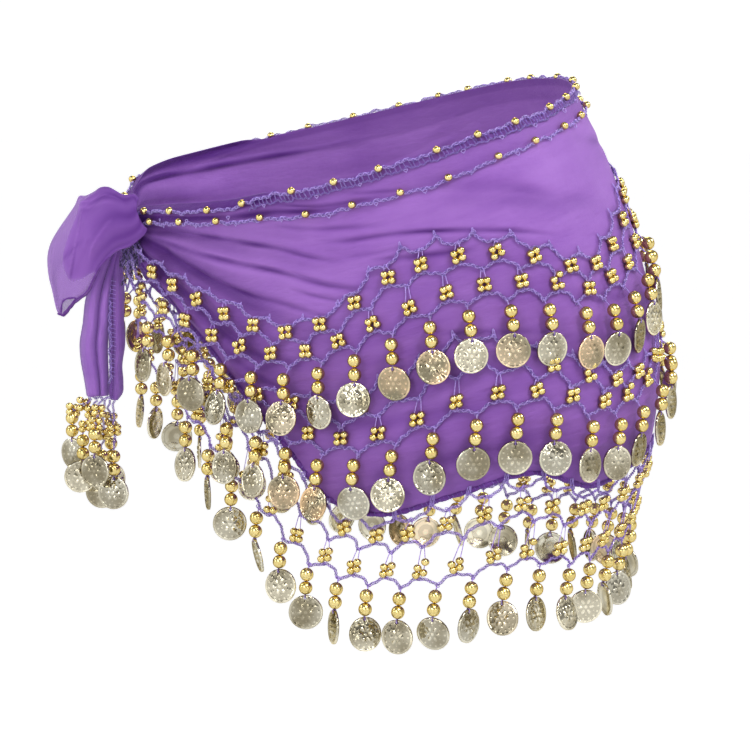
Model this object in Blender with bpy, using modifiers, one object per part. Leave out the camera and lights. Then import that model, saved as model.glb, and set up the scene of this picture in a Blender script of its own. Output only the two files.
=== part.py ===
"""Belly dance hip scarf, worn round the hips and tied at the wearer's right front hip.

Metres, +Z up.  The wearer faces -Y and the wearer's left is +X.  The origin is the centre of the ring
that the scarf's top edge makes round the waist.  Angles are in degrees, counted round the wearer from
the knot, anticlockwise as seen from above: 0 is the knot, 0 to 180 is the front and the left hip, and
180 to 360 is the back.  "Proud" is how far a point lies outside the figure that the scarf is worn on.
"""

import math
from collections import namedtuple

import bmesh
import bpy
import numpy as np
from mathutils import Vector

OBJECT_NAME = "belly_dance_hip_scarf"

SEAM = 0.0003
CLOTH_WALL = 0.0015
KNOT_BEARING = 220.0  # plan direction of the knot, from +X
ROUNDNESS = 2.25  # exponent of the superellipse that each level of the figure follows

# A general standing figure, level by level, with its weight on one hip.
Level = namedtuple("Level", "height half_width half_depth shift_x shift_y")
FIGURE = (
    Level(-0.310, 0.1500, 0.1090, 0.003, 0.002),
    Level(-0.250, 0.1540, 0.1120, 0.006, 0.004),
    Level(-0.200, 0.1600, 0.1165, 0.011, 0.008),
    Level(-0.160, 0.1655, 0.1210, 0.015, 0.011),
    Level(-0.120, 0.1670, 0.1225, 0.016, 0.012),
    Level(-0.080, 0.1630, 0.1205, 0.013, 0.010),
    Level(-0.040, 0.1565, 0.1180, 0.009, 0.006),
    Level(0.000, 0.1475, 0.1140, 0.003, 0.001),
    Level(0.040, 0.1350, 0.1060, -0.003, -0.004),
    Level(0.090, 0.1240, 0.0940, -0.006, -0.010),
)

# Where the scarf's lines run, by the angle from the knot either way round.  The top edge has a height in
# front and one at the back.  The rest are depths below the top edge, the same on both sides: the edging,
# the belt chain, and for each row of net its upper chain and the points that its drops hang from.
Lines = namedtuple("Lines", "angle top_front top_back edge belt net_1 drops_1 net_2 drops_2 hem drops_3")
LINES = (
    Lines(0, -0.034, -0.034, 0.005, 0.0100, 0.020, 0.056, 0.070, 0.092, 0.026, 0.096),
    Lines(15, -0.031, -0.017, 0.006, 0.0110, 0.034, 0.070, 0.081, 0.102, 0.058, 0.112),
    Lines(30, -0.029, -0.009, 0.007, 0.0120, 0.047, 0.083, 0.093, 0.113, 0.084, 0.136),
    Lines(45, -0.026, -0.003, 0.007, 0.0130, 0.060, 0.095, 0.103, 0.130, 0.115, 0.165),
    Lines(60, -0.021, 0.004, 0.004, 0.0150, 0.073, 0.102, 0.113, 0.143, 0.147, 0.196),
    Lines(75, -0.018, 0.011, 0.002, 0.0150, 0.068, 0.098, 0.119, 0.153, 0.178, 0.220),
    Lines(90, -0.009, 0.019, 0.002, 0.0160, 0.048, 0.091, 0.1125, 0.155, 0.194, 0.236),
    Lines(105, 0.002, 0.026, 0.002, 0.0170, 0.047, 0.087, 0.102, 0.148, 0.193, 0.245),
    Lines(120, 0.014, 0.032, 0.002, 0.0150, 0.060, 0.095, 0.122, 0.156, 0.193, 0.248),
    Lines(135, 0.023, 0.037, 0.002, 0.0130, 0.080, 0.107, 0.142, 0.172, 0.212, 0.257),
    Lines(150, 0.032, 0.041, 0.002, 0.0130, 0.066, 0.104, 0.147, 0.169, 0.212, 0.262),
    Lines(165, 0.039, 0.043, 0.002, 0.0130, 0.050, 0.090, 0.128, 0.152, 0.208, 0.258),
    Lines(180, 0.043, 0.043, 0.002, 0.0130, 0.058, 0.094, 0.134, 0.156, 0.212, 0.258),
)

# The cloth is one panel whose ends are pulled into the knot, so it pleats into a fan there.
PANEL_END = 3.6  # angle from the knot to each end of the panel
PANEL_ROWS = 8  # rows of faces down the panel, and half a pleat each
PANEL_STEP_AT_KNOT = 2.6
PANEL_STEP_GROWTH = 1.16
PANEL_STEP = 6.2
Fan = namedtuple("Fan", "angle pleat")
FAN = (Fan(0, 0.0008), Fan(6, 0.0012), Fan(14, 0.0022), Fan(28, 0.0022), Fan(48, 0.0012), Fan(78, 0.0))
HemFold = namedtuple("HemFold", "angle width proud")
HEM_FOLDS = (HemFold(133, 7, 0.003), HemFold(214, 9, 0.0025), HemFold(262, 10, 0.002))
KNOT_LIFT = 0.005  # how far the cloth leaves the body on its way into the knot
KNOT_LIFT_REACH = 15.0

# The crochet.  A net has chain A sewn to the cloth, chain B half a pitch aside of it and posts between,
# where its bead clusters sit.  Chain C below is the strip that the coin drops hang from.
CHAIN_WIDTH = 0.0024
CHAIN_THICK = 0.0020
SCALLOP = 0.0050
POST_WIDTH = 0.0065
CHAIN_B_SHARE = 0.46  # where chain B runs between chain A and chain C
STRIP_GAP = 0.0005  # from a net's last posts to the strip below
CLEAR = 0.0008  # between the cloth and what lies on it, which bridges its facets
CROWD_NEAR = 58.0  # nearer the knot than this the rows overlap, and lie over each other
CROWD_FAR = 68.0
SPACING_HEIGHT = -0.120  # drops are evenly spaced round the figure at this height
NetRow = namedtuple("NetRow", "number start cells layer bead_out bead_crowd coin_crowd yaw")
NET_ROWS = (
    NetRow(1, 8.0, 20, 0.0026, 0.0062, 0.0026, 0.0051, 14.0),
    NetRow(2, 37.0, 17, 0.0026, 0.0062, 0.0000, 0.0013, 14.0),
    NetRow(3, 20.0, 20, 0.0000, 0.0026, 0.0000, 0.0000, 50.0),
)
YAW_TURN = 2.4  # radians from one coin's twist to the next, so that no two neighbours match

# A drop: two round beads and a coin, as sections of three corners, below the strip's lower rim.
Section = namedtuple("Section", "below half_across half_thick")
DROP = (
    Section(0.0046, 0.0037, 0.0036),
    Section(0.0086, 0.0013, 0.0012),
    Section(0.0126, 0.0037, 0.0036),
    Section(0.0170, 0.0045, 0.0008),
    Section(0.0222, 0.0098, 0.0008),
    Section(0.0312, 0.0098, 0.0008),
    Section(0.0364, 0.0045, 0.0008),
)
COIN_FROM = 3  # the first section of the coin
ROOT_HALF = 0.0020

# The thin chains sewn along the top edge and below it.
THIN_CHAIN_RADIUS = 0.0012

# The tie.  Its frame stands at the knot: "aside" points away from the wearer along the knot's bearing,
# and "front" is a quarter turn on from it.  It lies TIE_PROUD outside the figure.
KNOT_HEIGHT = -0.047
KNOT_PROUD = 0.0060
TIE_PROUD = 0.0030
KNOT_SIDES = 14
KNOT_RIDGES = 5
KNOT_RIDGE = 0.10
KNOT_TWIST = 0.9
Barrel = namedtuple("Barrel", "along scale")
KNOT_BARREL = (
    Barrel(-0.0088, 0.78),
    Barrel(-0.0060, 0.98),
    Barrel(0.0, 1.05),
    Barrel(0.0060, 0.98),
    Barrel(0.0088, 0.78),
)
KNOT_HALF_DEPTH = 0.0085
KNOT_HALF_HEIGHT = 0.0135

# The loose end that puffs out of the knot is a flattened sleeve of cloth, open at its tip.
Puff = namedtuple("Puff", "top_aside top_height low_aside low_height front half_puff")
FLAP = (
    Puff(-0.001, -0.031, -0.003, -0.053, 0.0241, 0.0024),
    Puff(0.009, -0.025, 0.009, -0.060, 0.0221, 0.0060),
    Puff(0.022, -0.022, 0.020, -0.070, 0.0179, 0.0100),
    Puff(0.036, -0.030, 0.030, -0.083, 0.0150, 0.0120),
    Puff(0.050, -0.048, 0.038, -0.093, 0.0100, 0.0110),
    Puff(0.055, -0.068, 0.044, -0.099, 0.0070, 0.0070),
    Puff(0.053, -0.090, 0.048, -0.101, 0.0050, 0.0030),
)
FLAP_SIDES = 12
FLAP_WALL = 0.0010

# The other end hangs straight down from the knot in pleats.
Hang = namedtuple("Hang", "height near_aside far_aside pleat")
TAIL = (
    Hang(-0.0620, 0.001, 0.010, 0.0020),
    Hang(-0.0730, 0.003, 0.019, 0.0040),
    Hang(-0.0860, 0.006, 0.029, 0.0055),
    Hang(-0.1050, 0.008, 0.035, 0.0065),
    Hang(-0.1270, 0.008, 0.036, 0.0065),
    Hang(-0.1470, 0.012, 0.031, 0.0035),
)
TAIL_PLEATS = 8
TAIL_FRONT = -0.001
TAIL_WALL = 0.0012

# Six drops hang from the tail's edge, each on a thread with a bead cluster half way.
Strand = namedtuple("Strand", "aside front height")
TASSEL = (
    Strand(0.0150, 0.0030, -0.179),
    Strand(0.0180, -0.0150, -0.173),
    Strand(0.0230, -0.0090, -0.180),
    Strand(0.0260, 0.0090, -0.165),
    Strand(0.0340, -0.0030, -0.170),
    Strand(0.0410, -0.0100, -0.157),
)
TASSEL_FIRST = 0.0135
TASSEL_LAST = 0.0295
TASSEL_TOP = -0.1475
TASSEL_ROOT_HALF = 0.0009
THREAD = (Section(0.35, 0.0010, 0.0010), Section(0.60, 0.0038, 0.0034), Section(0.90, 0.0010, 0.0010))

Finish = namedtuple("Finish", "color roughness metallic")
CHIFFON = Finish((0.38, 0.16, 0.62, 1.0), 0.75, 0.0)
CROCHET = Finish((0.24, 0.15, 0.52, 1.0), 0.85, 0.0)
GOLD = Finish((0.80, 0.60, 0.20, 1.0), 0.30, 1.0)


def smooth(keys, values, at):
    """A smooth curve through the values of a table's column."""
    keys, values, at = (np.asarray(row, float) for row in (keys, values, at))
    slopes = np.gradient(values, keys)
    i = np.clip(np.searchsorted(keys, at) - 1, 0, len(keys) - 2)
    span = keys[i + 1] - keys[i]
    t = (at - keys[i]) / span
    ease = t * t * (3 - 2 * t)
    start = t * (1 - t) ** 2 * span * slopes[i]
    end = t * t * (t - 1) * span * slopes[i + 1]
    return values[i] * (1 - ease) + values[i + 1] * ease + start + end


def column(table, name):
    return [getattr(row, name) for row in table]


def from_knot(angle):
    return min(angle % 360, 360 - angle % 360)


def line(name, angle):
    """A column of LINES at an angle."""
    return float(smooth(column(LINES, "angle"), column(LINES, name), from_knot(angle)))


def top(angle):
    return line("top_front" if angle <= 180 else "top_back", angle)


def ease(value, start, end):
    t = min(max((value - start) / (end - start), 0.0), 1.0)
    return t * t * (3 - 2 * t)


def worn(angle, height, proud):
    """The point on the figure at an angle and a height, moved straight out by proud."""
    levels = column(FIGURE, "height")
    width, depth, shift_x, shift_y = (
        float(smooth(levels, column(FIGURE, name), height)) for name in Level._fields[1:]
    )
    bearing = math.radians(KNOT_BEARING + angle)
    across, along = math.cos(bearing), math.sin(bearing)
    reach = (abs(across / width) ** ROUNDNESS + abs(along / depth) ** ROUNDNESS) ** (-1 / ROUNDNESS)
    x, y = reach * across, reach * along
    out = outward(x, y, width, depth)
    return Vector((shift_x + x, shift_y + y, height)) + out * proud


def outward(x, y, width, depth):
    return Vector((
        math.copysign(abs(x) ** (ROUNDNESS - 1) / width**ROUNDNESS, x),
        math.copysign(abs(y) ** (ROUNDNESS - 1) / depth**ROUNDNESS, y),
        0.0,
    )).normalized()


def axes(angle, height):
    """The directions outward and onward round the figure at a point of it."""
    here = worn(angle, height, 0.0)
    out = (worn(angle, height, 1.0) - here).normalized()
    return out, Vector((-out.y, out.x, 0.0))


def girth():
    """(angles, distance round the figure from the knot) at the height where drops are spaced."""
    angles = np.arange(0.0, 360.5, 0.5)
    points = np.array([worn(angle, SPACING_HEIGHT, 0.0) for angle in angles])
    steps = np.linalg.norm(np.diff(points, axis=0), axis=1)
    return angles, np.concatenate([[0.0], np.cumsum(steps)])


GIRTH_ANGLES, GIRTH_RUN = girth()


def run_at(angle):
    return float(np.interp(angle, GIRTH_ANGLES, GIRTH_RUN))


def angle_at(run):
    return float(np.interp(run, GIRTH_RUN, GIRTH_ANGLES))


def knot_lift(angle):
    return KNOT_LIFT * (1 - ease(from_knot(angle), PANEL_END, KNOT_LIFT_REACH))


def fan(angle):
    return float(np.interp(from_knot(angle), column(FAN, "angle"), column(FAN, "pleat")))


def hem_fold(angle, share):
    folds = (fold.proud * math.exp(-(((angle - fold.angle) / fold.width) ** 2)) for fold in HEM_FOLDS)
    return sum(folds) * min(share, 1.0) ** 3


def cloth_proud(angle, share):
    """The cloth's outer face, at a share of the way down from the top edge to the hem."""
    phase = (share * PANEL_ROWS) % 2
    pleat = fan(angle) * (1 - 2 * abs(phase - 1))
    return knot_lift(angle) + pleat + hem_fold(angle, share)


def over_cloth(angle, depth):
    """How far proud something lies that bridges the pleats and just clears the cloth."""
    return knot_lift(angle) + fan(angle) + hem_fold(angle, depth / line("hem", angle)) + CLEAR


def crowd(angle):
    return 1 - ease(from_knot(angle), CROWD_NEAR, CROWD_FAR)


def panel_angles():
    """Close together at the knot, where the pleats are, and even further on."""
    half = [PANEL_END]
    step = PANEL_STEP_AT_KNOT
    while half[-1] + step < 180 - PANEL_STEP / 2:
        half.append(half[-1] + step)
        step = min(step * PANEL_STEP_GROWTH, PANEL_STEP)
    return half + [180.0] + [360 - angle for angle in reversed(half)]


PANEL_ANGLES = panel_angles()


def material(name, finish):
    made = bpy.data.materials.new(name)
    made.use_nodes = True
    made.diffuse_color = finish.color
    shader = made.node_tree.nodes["Principled BSDF"]
    shader.inputs["Base Color"].default_value = finish.color
    shader.inputs["Roughness"].default_value = finish.roughness
    shader.inputs["Metallic"].default_value = finish.metallic
    return made


def add(name, data, finish):
    made = bpy.data.objects.new(name, data)
    data.materials.append(material(name, finish))
    PARTS.objects.link(made)
    return made


def add_mesh(name, shape, finish):
    """An object from a bmesh, which is freed."""
    data = bpy.data.meshes.new(name)
    shape.to_mesh(data)
    shape.free()
    return add(name, data, finish)


def thicken(made, thickness, offset):
    """offset is -1 for a wall inside its surface and 0 for one either side of it."""
    wall = made.modifiers.new("wall", "SOLIDIFY")
    wall.thickness = thickness
    wall.offset = offset


def grid(columns, rows, place):
    """A sheet of faces, with place(u, v) for each corner, u and v running from 0 to 1."""
    shape = bmesh.new()
    bmesh.ops.create_grid(shape, x_segments=columns, y_segments=rows, size=0.5)
    for vert in shape.verts:
        vert.co = place(round(vert.co.x + 0.5, 5), round(vert.co.y + 0.5, 5))
    return shape


def hip_panel():
    last = len(PANEL_ANGLES) - 1

    def place(u, v):
        angle = PANEL_ANGLES[round(u * last)]
        share = 1 - v
        height = top(angle) - share * line("hem", angle)
        return worn(angle, height, cloth_proud(angle, share))

    made = add_mesh("hip_panel", grid(last, PANEL_ROWS, place), CHIFFON)
    thicken(made, CLOTH_WALL, -1)


def thin_chain(name, line_name):
    """A fine chain sewn on the cloth along one of the lines, from one end of the panel to the other."""
    curve = bpy.data.curves.new(name, "CURVE")
    curve.dimensions = "3D"
    curve.bevel_depth = THIN_CHAIN_RADIUS
    curve.bevel_resolution = 0
    curve.use_fill_caps = True
    spline = curve.splines.new("POLY")
    spline.points.add(len(PANEL_ANGLES) - 1)
    for point, angle in zip(spline.points, PANEL_ANGLES):
        depth = line(line_name, angle)
        proud = over_cloth(angle, depth) + THIN_CHAIN_RADIUS
        point.co = (*worn(angle, top(angle) - depth, proud), 1.0)
    add(name, curve, CROCHET)


def chain_depth(row, chain, angle):
    """The upper rim's mean depth of chain A, B or C of a row."""
    depth_a = line(f"net_{min(row.number, 2)}", angle)
    if row.number == 3:
        depth_a = line("hem", angle)
    depth_c = line(f"drops_{row.number}", angle) - CHAIN_WIDTH - SCALLOP / 2
    share = {"A": 0.0, "B": CHAIN_B_SHARE, "C": 1.0}[chain]
    return depth_a + share * (depth_c - depth_a)


def on_row(row, chain, run, below):
    """A point midway through a row's thickness, below the mean line of one of its chains."""
    angle = angle_at(run)
    depth = chain_depth(row, chain, angle) + below
    proud = over_cloth(angle, depth) + CHAIN_THICK / 2 + row.layer * crowd(angle)
    return worn(angle, top(angle) - depth, proud)


def net(name, row, first, last):
    """Half of a row's net: chains A and B as scalloped bands joined by the posts of the clusters."""
    pitch = (last - first) / row.cells
    shape = bmesh.new()

    def corner(chain, run, below):
        return shape.verts.new(on_row(row, chain, run, below))

    peaks, lows = [], []
    for k in range(row.cells + 1):
        run = first + k * pitch
        left = run - (POST_WIDTH / 2 if k > 0 else 0)
        right = run + (POST_WIDTH / 2 if k < row.cells else 0)
        peaks.append(corners_at_peak(corner, run, left, right))
        if k < row.cells:
            lows.append(corners_at_low(corner, run + pitch / 2))
    for here, low, onward in zip(peaks, lows, peaks[1:]):
        shape.faces.new((here["a"], here["a_under"], low["post_left"], low["a"]))
        shape.faces.new((low["a"], low["post_right"], onward["a_under"], onward["a"]))
        shape.faces.new((low["a"], low["post_left"], low["post_right"]))
        shape.faces.new((low["post_left"], low["b_left"], low["b_right"], low["post_right"]))
        shape.faces.new((low["b_left"], low["b_under"], low["b_right"]))
        shape.faces.new((here["b"], here["b_right"], low["b_under"], low["b_left"]))
        shape.faces.new((low["b_right"], low["b_under"], onward["b_left"], onward["b"]))
    for peak in peaks:
        shape.faces.new((peak["b"], peak["b_left"], peak["b_right"]))
        shape.faces.new((peak["b_left"], peak["c_left"], peak["c_right"], peak["b_right"]))
    made = add_mesh(name, shape, CROCHET)
    thicken(made, CHAIN_THICK, 0)


def corners_at_peak(corner, run, left, right):
    """Where chain A peaks, chain B is low, and a post goes down to chain C."""
    high, low = -SCALLOP / 2, SCALLOP / 2
    return {
        "a": corner("A", run, high),
        "a_under": corner("A", run, high + CHAIN_WIDTH),
        "b": corner("B", run, low),
        "b_left": corner("B", left, low + CHAIN_WIDTH),
        "b_right": corner("B", right, low + CHAIN_WIDTH),
        "c_left": corner("C", left, high - STRIP_GAP),
        "c_right": corner("C", right, high - STRIP_GAP),
    }


def corners_at_low(corner, run):
    """Where chain A is low, a post goes down to a peak of chain B."""
    high, low = -SCALLOP / 2, SCALLOP / 2
    left, right = run - POST_WIDTH / 2, run + POST_WIDTH / 2
    return {
        "a": corner("A", run, low),
        "post_left": corner("A", left, low + CHAIN_WIDTH),
        "post_right": corner("A", right, low + CHAIN_WIDTH),
        "b_left": corner("B", left, high),
        "b_right": corner("B", right, high),
        "b_under": corner("B", run, high + CHAIN_WIDTH),
    }


def ring(shape, centre, across, out, section):
    """Three corners: two on the outer side and one on the inner."""
    corners = (
        centre - across * section.half_across + out * section.half_thick,
        centre + across * section.half_across + out * section.half_thick,
        centre - out * section.half_thick,
    )
    return [shape.verts.new(point) for point in corners]


def loft(shape, rings):
    for above, below in zip(rings, rings[1:]):
        for i in range(3):
            shape.faces.new((above[i - 1], above[i], below[i], below[i - 1]))
    shape.faces.new(rings[-1])


def strip(shape, crests, roots):
    """A three-cornered strip between crests, with a drop's first ring as its foot at each root."""
    for here, (upper, foot), onward in zip(crests, roots, crests[1:]):
        left, right, inner = foot
        for (high, outer, back), corner in ((here, left), (onward, right)):
            shape.faces.new((high, outer, corner, upper))
            shape.faces.new((high, upper, inner, back))
            shape.faces.new((outer, back, inner, corner))
        shape.faces.new((upper, left, right))
    shape.faces.new(crests[0])
    shape.faces.new(crests[-1])


def closed(name, shape, finish):
    bmesh.ops.recalc_face_normals(shape, faces=shape.faces)
    return add_mesh(name, shape, finish)


def fringe(name, row, crest_runs):
    """Chain C of a row with a coin drop at each of its low points, as one piece."""
    shape = bmesh.new()
    foot_section = Section(0.0, ROOT_HALF, CHAIN_THICK / 2)
    crests, roots = [], []
    for run in crest_runs:
        angle = angle_at(run)
        out, _ = axes(angle, SPACING_HEIGHT)
        high = on_row(row, "C", run, -SCALLOP / 2)
        low = on_row(row, "C", run, -SCALLOP / 2 + CHAIN_WIDTH)
        corners = (high, low + out * CHAIN_THICK / 2, low - out * CHAIN_THICK / 2)
        crests.append([shape.verts.new(point) for point in corners])
    for i, (before, after) in enumerate(zip(crest_runs, crest_runs[1:])):
        run = (before + after) / 2
        angle = angle_at(run)
        out, across = axes(angle, SPACING_HEIGHT)
        upper = shape.verts.new(on_row(row, "C", run, SCALLOP / 2))
        foot = ring(shape, on_row(row, "C", run, SCALLOP / 2 + CHAIN_WIDTH), across, out, foot_section)
        roots.append((upper, foot))
        yaw = math.radians(row.yaw) * math.sin(i * YAW_TURN)
        loft(shape, [foot, *drop_rings(shape, row, angle, yaw)])
    strip(shape, crests, roots)
    closed(name, shape, GOLD)


def drop_rings(shape, row, angle, yaw):
    out, across = axes(angle, SPACING_HEIGHT)
    turned = across * math.cos(yaw) + out * math.sin(yaw)
    facing = out * math.cos(yaw) - across * math.sin(yaw)
    root = line(f"drops_{row.number}", angle)
    bead_out = row.bead_out + row.bead_crowd * crowd(angle)
    coin_out = row.bead_out + row.coin_crowd * crowd(angle)
    rings = []
    for i, section in enumerate(DROP):
        depth = root + section.below
        proud = over_cloth(angle, depth) + (bead_out if i < COIN_FROM else coin_out)
        centre = worn(angle, top(angle) - depth, proud)
        side, face = (turned, facing) if i >= COIN_FROM else (across, out)
        rings.append(ring(shape, centre, side, face, section))
    return rings


def net_row(row):
    start, middle, end = run_at(row.start), run_at(180.0), run_at(360 - row.start)
    net(f"net_{row.number}_front", row, start, middle - SEAM)
    net(f"net_{row.number}_back", row, middle + SEAM, end)
    front = np.linspace(start, middle, row.cells + 1)
    back = np.linspace(middle, end, row.cells + 1)
    fringe(f"fringe_{row.number}", row, [*front, *back[1:]])


def at_knot(aside, front, height):
    """A point in the knot's frame."""
    bearing = math.radians(KNOT_BEARING)
    away = Vector((math.cos(bearing), math.sin(bearing), 0.0))
    onward = Vector((-away.y, away.x, 0.0))
    base = worn(0.0, KNOT_HEIGHT, 0.0)
    return Vector((base.x, base.y, height)) + away * (TIE_PROUD + aside) + onward * front


def knot():
    """The cloth wound tight round itself, a twisted barrel lying along the scarf between its two ends."""
    out, along = axes(0.0, KNOT_HEIGHT)
    centre = worn(0.0, KNOT_HEIGHT, KNOT_PROUD)
    shape = bmesh.new()
    rings = []
    for barrel in KNOT_BARREL:
        corners = []
        for k in range(KNOT_SIDES):
            turn = 2 * math.pi * k / KNOT_SIDES
            wave = math.cos(KNOT_RIDGES * turn + KNOT_TWIST * barrel.along / KNOT_BARREL[-1].along)
            scale = barrel.scale * (1 + KNOT_RIDGE * wave)
            offset = out * (KNOT_HALF_DEPTH * math.cos(turn) * scale)
            offset += Vector((0, 0, KNOT_HALF_HEIGHT * math.sin(turn) * scale))
            corners.append(shape.verts.new(centre + along * barrel.along + offset))
        rings.append(corners)
    for here, onward in zip(rings, rings[1:]):
        for i in range(KNOT_SIDES):
            shape.faces.new((here[i - 1], here[i], onward[i], onward[i - 1]))
    shape.faces.new(rings[0])
    shape.faces.new(rings[-1])
    closed("knot", shape, CHIFFON)


def tie_flap():
    """The puffed end: rings that go round its cloth, closed where it leaves the knot."""
    shape = bmesh.new()
    rings = []
    for puff in FLAP:
        upper = at_knot(puff.top_aside, puff.front, puff.top_height)
        lower = at_knot(puff.low_aside, puff.front, puff.low_height)
        thick = (at_knot(0, 1, 0) - at_knot(0, 0, 0)) * puff.half_puff
        turns = (2 * math.pi * k / FLAP_SIDES for k in range(FLAP_SIDES))
        points = (
            (upper + lower) / 2 + (upper - lower) / 2 * math.cos(turn) + thick * math.sin(turn)
            for turn in turns
        )
        rings.append([shape.verts.new(point) for point in points])
    for here, onward in zip(rings, rings[1:]):
        for i in range(FLAP_SIDES):
            shape.faces.new((here[i], here[i - 1], onward[i - 1], onward[i]))
    shape.faces.new(rings[0])
    bmesh.ops.triangulate(shape, faces=shape.faces)
    made = add_mesh("tie_flap", shape, CHIFFON)
    thicken(made, FLAP_WALL, -1)


def tie_tail():
    rows = len(TAIL) - 1

    def place(u, v):
        row = TAIL[round((1 - v) * rows)]
        side = 1 if round(u * TAIL_PLEATS) % 2 else -1
        aside = row.near_aside + u * (row.far_aside - row.near_aside)
        return at_knot(aside, TAIL_FRONT + side * row.pleat, row.height)

    made = add_mesh("tie_tail", grid(TAIL_PLEATS, rows, place), CHIFFON)
    thicken(made, TAIL_WALL, 0)


def tail_tassel():
    """A short strip below the tail's edge, with six threads of beads and coins."""
    shape = bmesh.new()
    count = len(TASSEL)
    spacing = (TASSEL_LAST - TASSEL_FIRST) / count
    away = at_knot(1, 0, 0) - at_knot(0, 0, 0)
    onward = at_knot(0, 1, 0) - at_knot(0, 0, 0)
    down = Vector((0, 0, -1))
    half = CHAIN_THICK / 2
    foot_section = Section(0.0, TASSEL_ROOT_HALF, half)
    crests, roots = [], []
    for k in range(count + 1):
        high = at_knot(TASSEL_FIRST + k * spacing, TAIL_FRONT, TASSEL_TOP)
        low = high + down * CHAIN_WIDTH
        crests.append([shape.verts.new(point) for point in (high, low + onward * half, low - onward * half)])
    for k, strand in enumerate(TASSEL):
        high = at_knot(TASSEL_FIRST + (k + 0.5) * spacing, TAIL_FRONT, TASSEL_TOP)
        low = high + down * CHAIN_WIDTH
        foot = ring(shape, low, away, onward, foot_section)
        roots.append((shape.verts.new(high), foot))
        end = at_knot(strand.aside, strand.front, strand.height)
        rings = [foot]
        rings += [ring(shape, low.lerp(end, part.below), away, onward, part) for part in THREAD]
        rings += [ring(shape, end + down * part.below, away, onward, part) for part in DROP]
        loft(shape, rings)
    strip(shape, crests, roots)
    closed("tail_tassel", shape, GOLD)


def clear_scene():
    for old in list(bpy.data.objects):
        bpy.data.objects.remove(old, do_unlink=True)


def build():
    hip_panel()
    knot()
    tie_flap()
    tie_tail()
    tail_tassel()
    thin_chain("edge_chain", "edge")
    thin_chain("belt_chain", "belt")
    for row in NET_ROWS:
        net_row(row)


clear_scene()
PARTS = bpy.data.collections.new(OBJECT_NAME)
bpy.context.scene.collection.children.link(PARTS)
build()
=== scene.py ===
"""Looks of the belly dance hip scarf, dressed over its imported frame.

Metres, +Z up, in the frame's own axes.  Angles are in degrees round the wearer from the knot, anticlockwise
as seen from above.  "Run" is the distance round the figure from the knot, "depth" is the distance below the
scarf's top edge, "proud" is how far a point lies outside the figure that the scarf is worn on, and a "share"
runs from 0 to 1 along something.
"""

import math
from collections import namedtuple

import bpy
import numpy as np
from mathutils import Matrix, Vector, geometry

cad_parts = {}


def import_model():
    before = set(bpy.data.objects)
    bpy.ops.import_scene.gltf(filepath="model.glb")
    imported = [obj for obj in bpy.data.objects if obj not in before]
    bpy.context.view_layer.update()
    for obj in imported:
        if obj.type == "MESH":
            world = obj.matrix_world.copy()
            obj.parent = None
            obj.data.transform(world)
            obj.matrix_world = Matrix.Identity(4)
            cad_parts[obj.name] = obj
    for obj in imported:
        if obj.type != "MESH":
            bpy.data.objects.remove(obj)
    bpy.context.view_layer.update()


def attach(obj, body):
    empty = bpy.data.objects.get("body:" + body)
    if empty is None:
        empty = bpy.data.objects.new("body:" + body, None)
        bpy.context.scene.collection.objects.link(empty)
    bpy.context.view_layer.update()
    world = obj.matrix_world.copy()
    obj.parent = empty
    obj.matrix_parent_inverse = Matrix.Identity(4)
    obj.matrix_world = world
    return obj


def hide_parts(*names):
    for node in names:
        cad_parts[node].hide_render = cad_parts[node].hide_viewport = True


RANDOM = np.random.default_rng(7)
UP = np.array([0.0, 0.0, 1.0])


def table(fields, *rows):
    """Named rows.  The fields before the bar are as written, and those after it are in millimetres."""
    plain, lengths = (names.split() for names in fields.split("|"))
    kind = namedtuple("Entry", plain + lengths)
    count = len(plain)
    return [kind(*row[:count], *(round(value / 1000, 7) for value in row[count:])) for row in rows]


# ---- the figure and the scarf's lines, as in the CAD

KNOT_BEARING = math.radians(220.0)
ROUNDNESS = 2.25
FIGURE = table(
    "| height half_width half_depth shift_x shift_y",
    (-310, 150, 109, 3, 2),
    (-250, 154, 112, 6, 4),
    (-200, 160, 116.5, 11, 8),
    (-160, 165.5, 121, 15, 11),
    (-120, 167, 122.5, 16, 12),
    (-80, 163, 120.5, 13, 10),
    (-40, 156.5, 118, 9, 6),
    (0, 147.5, 114, 3, 1),
    (40, 135, 106, -3, -4),
    (90, 124, 94, -6, -10),
)
LINES = table(
    "angle | top_front top_back edge belt net_1 drops_1 net_2 drops_2 hem drops_3",
    (0, -34, -34, 5, 10, 20, 56, 70, 92, 26, 96),
    (15, -31, -17, 6, 11, 34, 70, 81, 102, 58, 112),
    (30, -29, -9, 7, 12, 47, 83, 93, 113, 84, 136),
    (45, -26, -3, 7, 13, 60, 95, 103, 130, 115, 165),
    (60, -21, 4, 4, 15, 73, 102, 113, 143, 147, 196),
    (75, -18, 11, 2, 15, 68, 98, 119, 153, 178, 220),
    (90, -9, 19, 2, 16, 48, 91, 112.5, 155, 194, 236),
    (105, 2, 26, 2, 17, 47, 87, 102, 148, 193, 245),
    (120, 14, 32, 2, 15, 60, 95, 122, 156, 193, 248),
    (135, 23, 37, 2, 13, 80, 107, 142, 172, 212, 257),
    (150, 32, 41, 2, 13, 66, 104, 147, 169, 212, 262),
    (165, 39, 43, 2, 13, 50, 90, 128, 152, 208, 258),
    (180, 43, 43, 2, 13, 58, 94, 134, 156, 212, 258),
)
PANEL_END = 3.6
PANEL_PLEATS = 8
FAN = table("angle | pleat", (0, 0.8), (6, 1.2), (14, 2.2), (28, 2.2), (48, 1.2), (78, 0))
HEM_FOLDS = table("angle width | proud", (133, 7, 3), (214, 9, 2.5), (262, 10, 2))
KNOT_LIFT = 0.005
KNOT_LIFT_REACH = 15.0
CHAIN_WIDTH = 0.0024
CHAIN_THICK = 0.0020
SCALLOP = 0.0050
CHAIN_B_SHARE = 0.46
CLEAR = 0.0008
CROWD_NEAR = 58.0
CROWD_FAR = 68.0
SPACING_HEIGHT = -0.120
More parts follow.
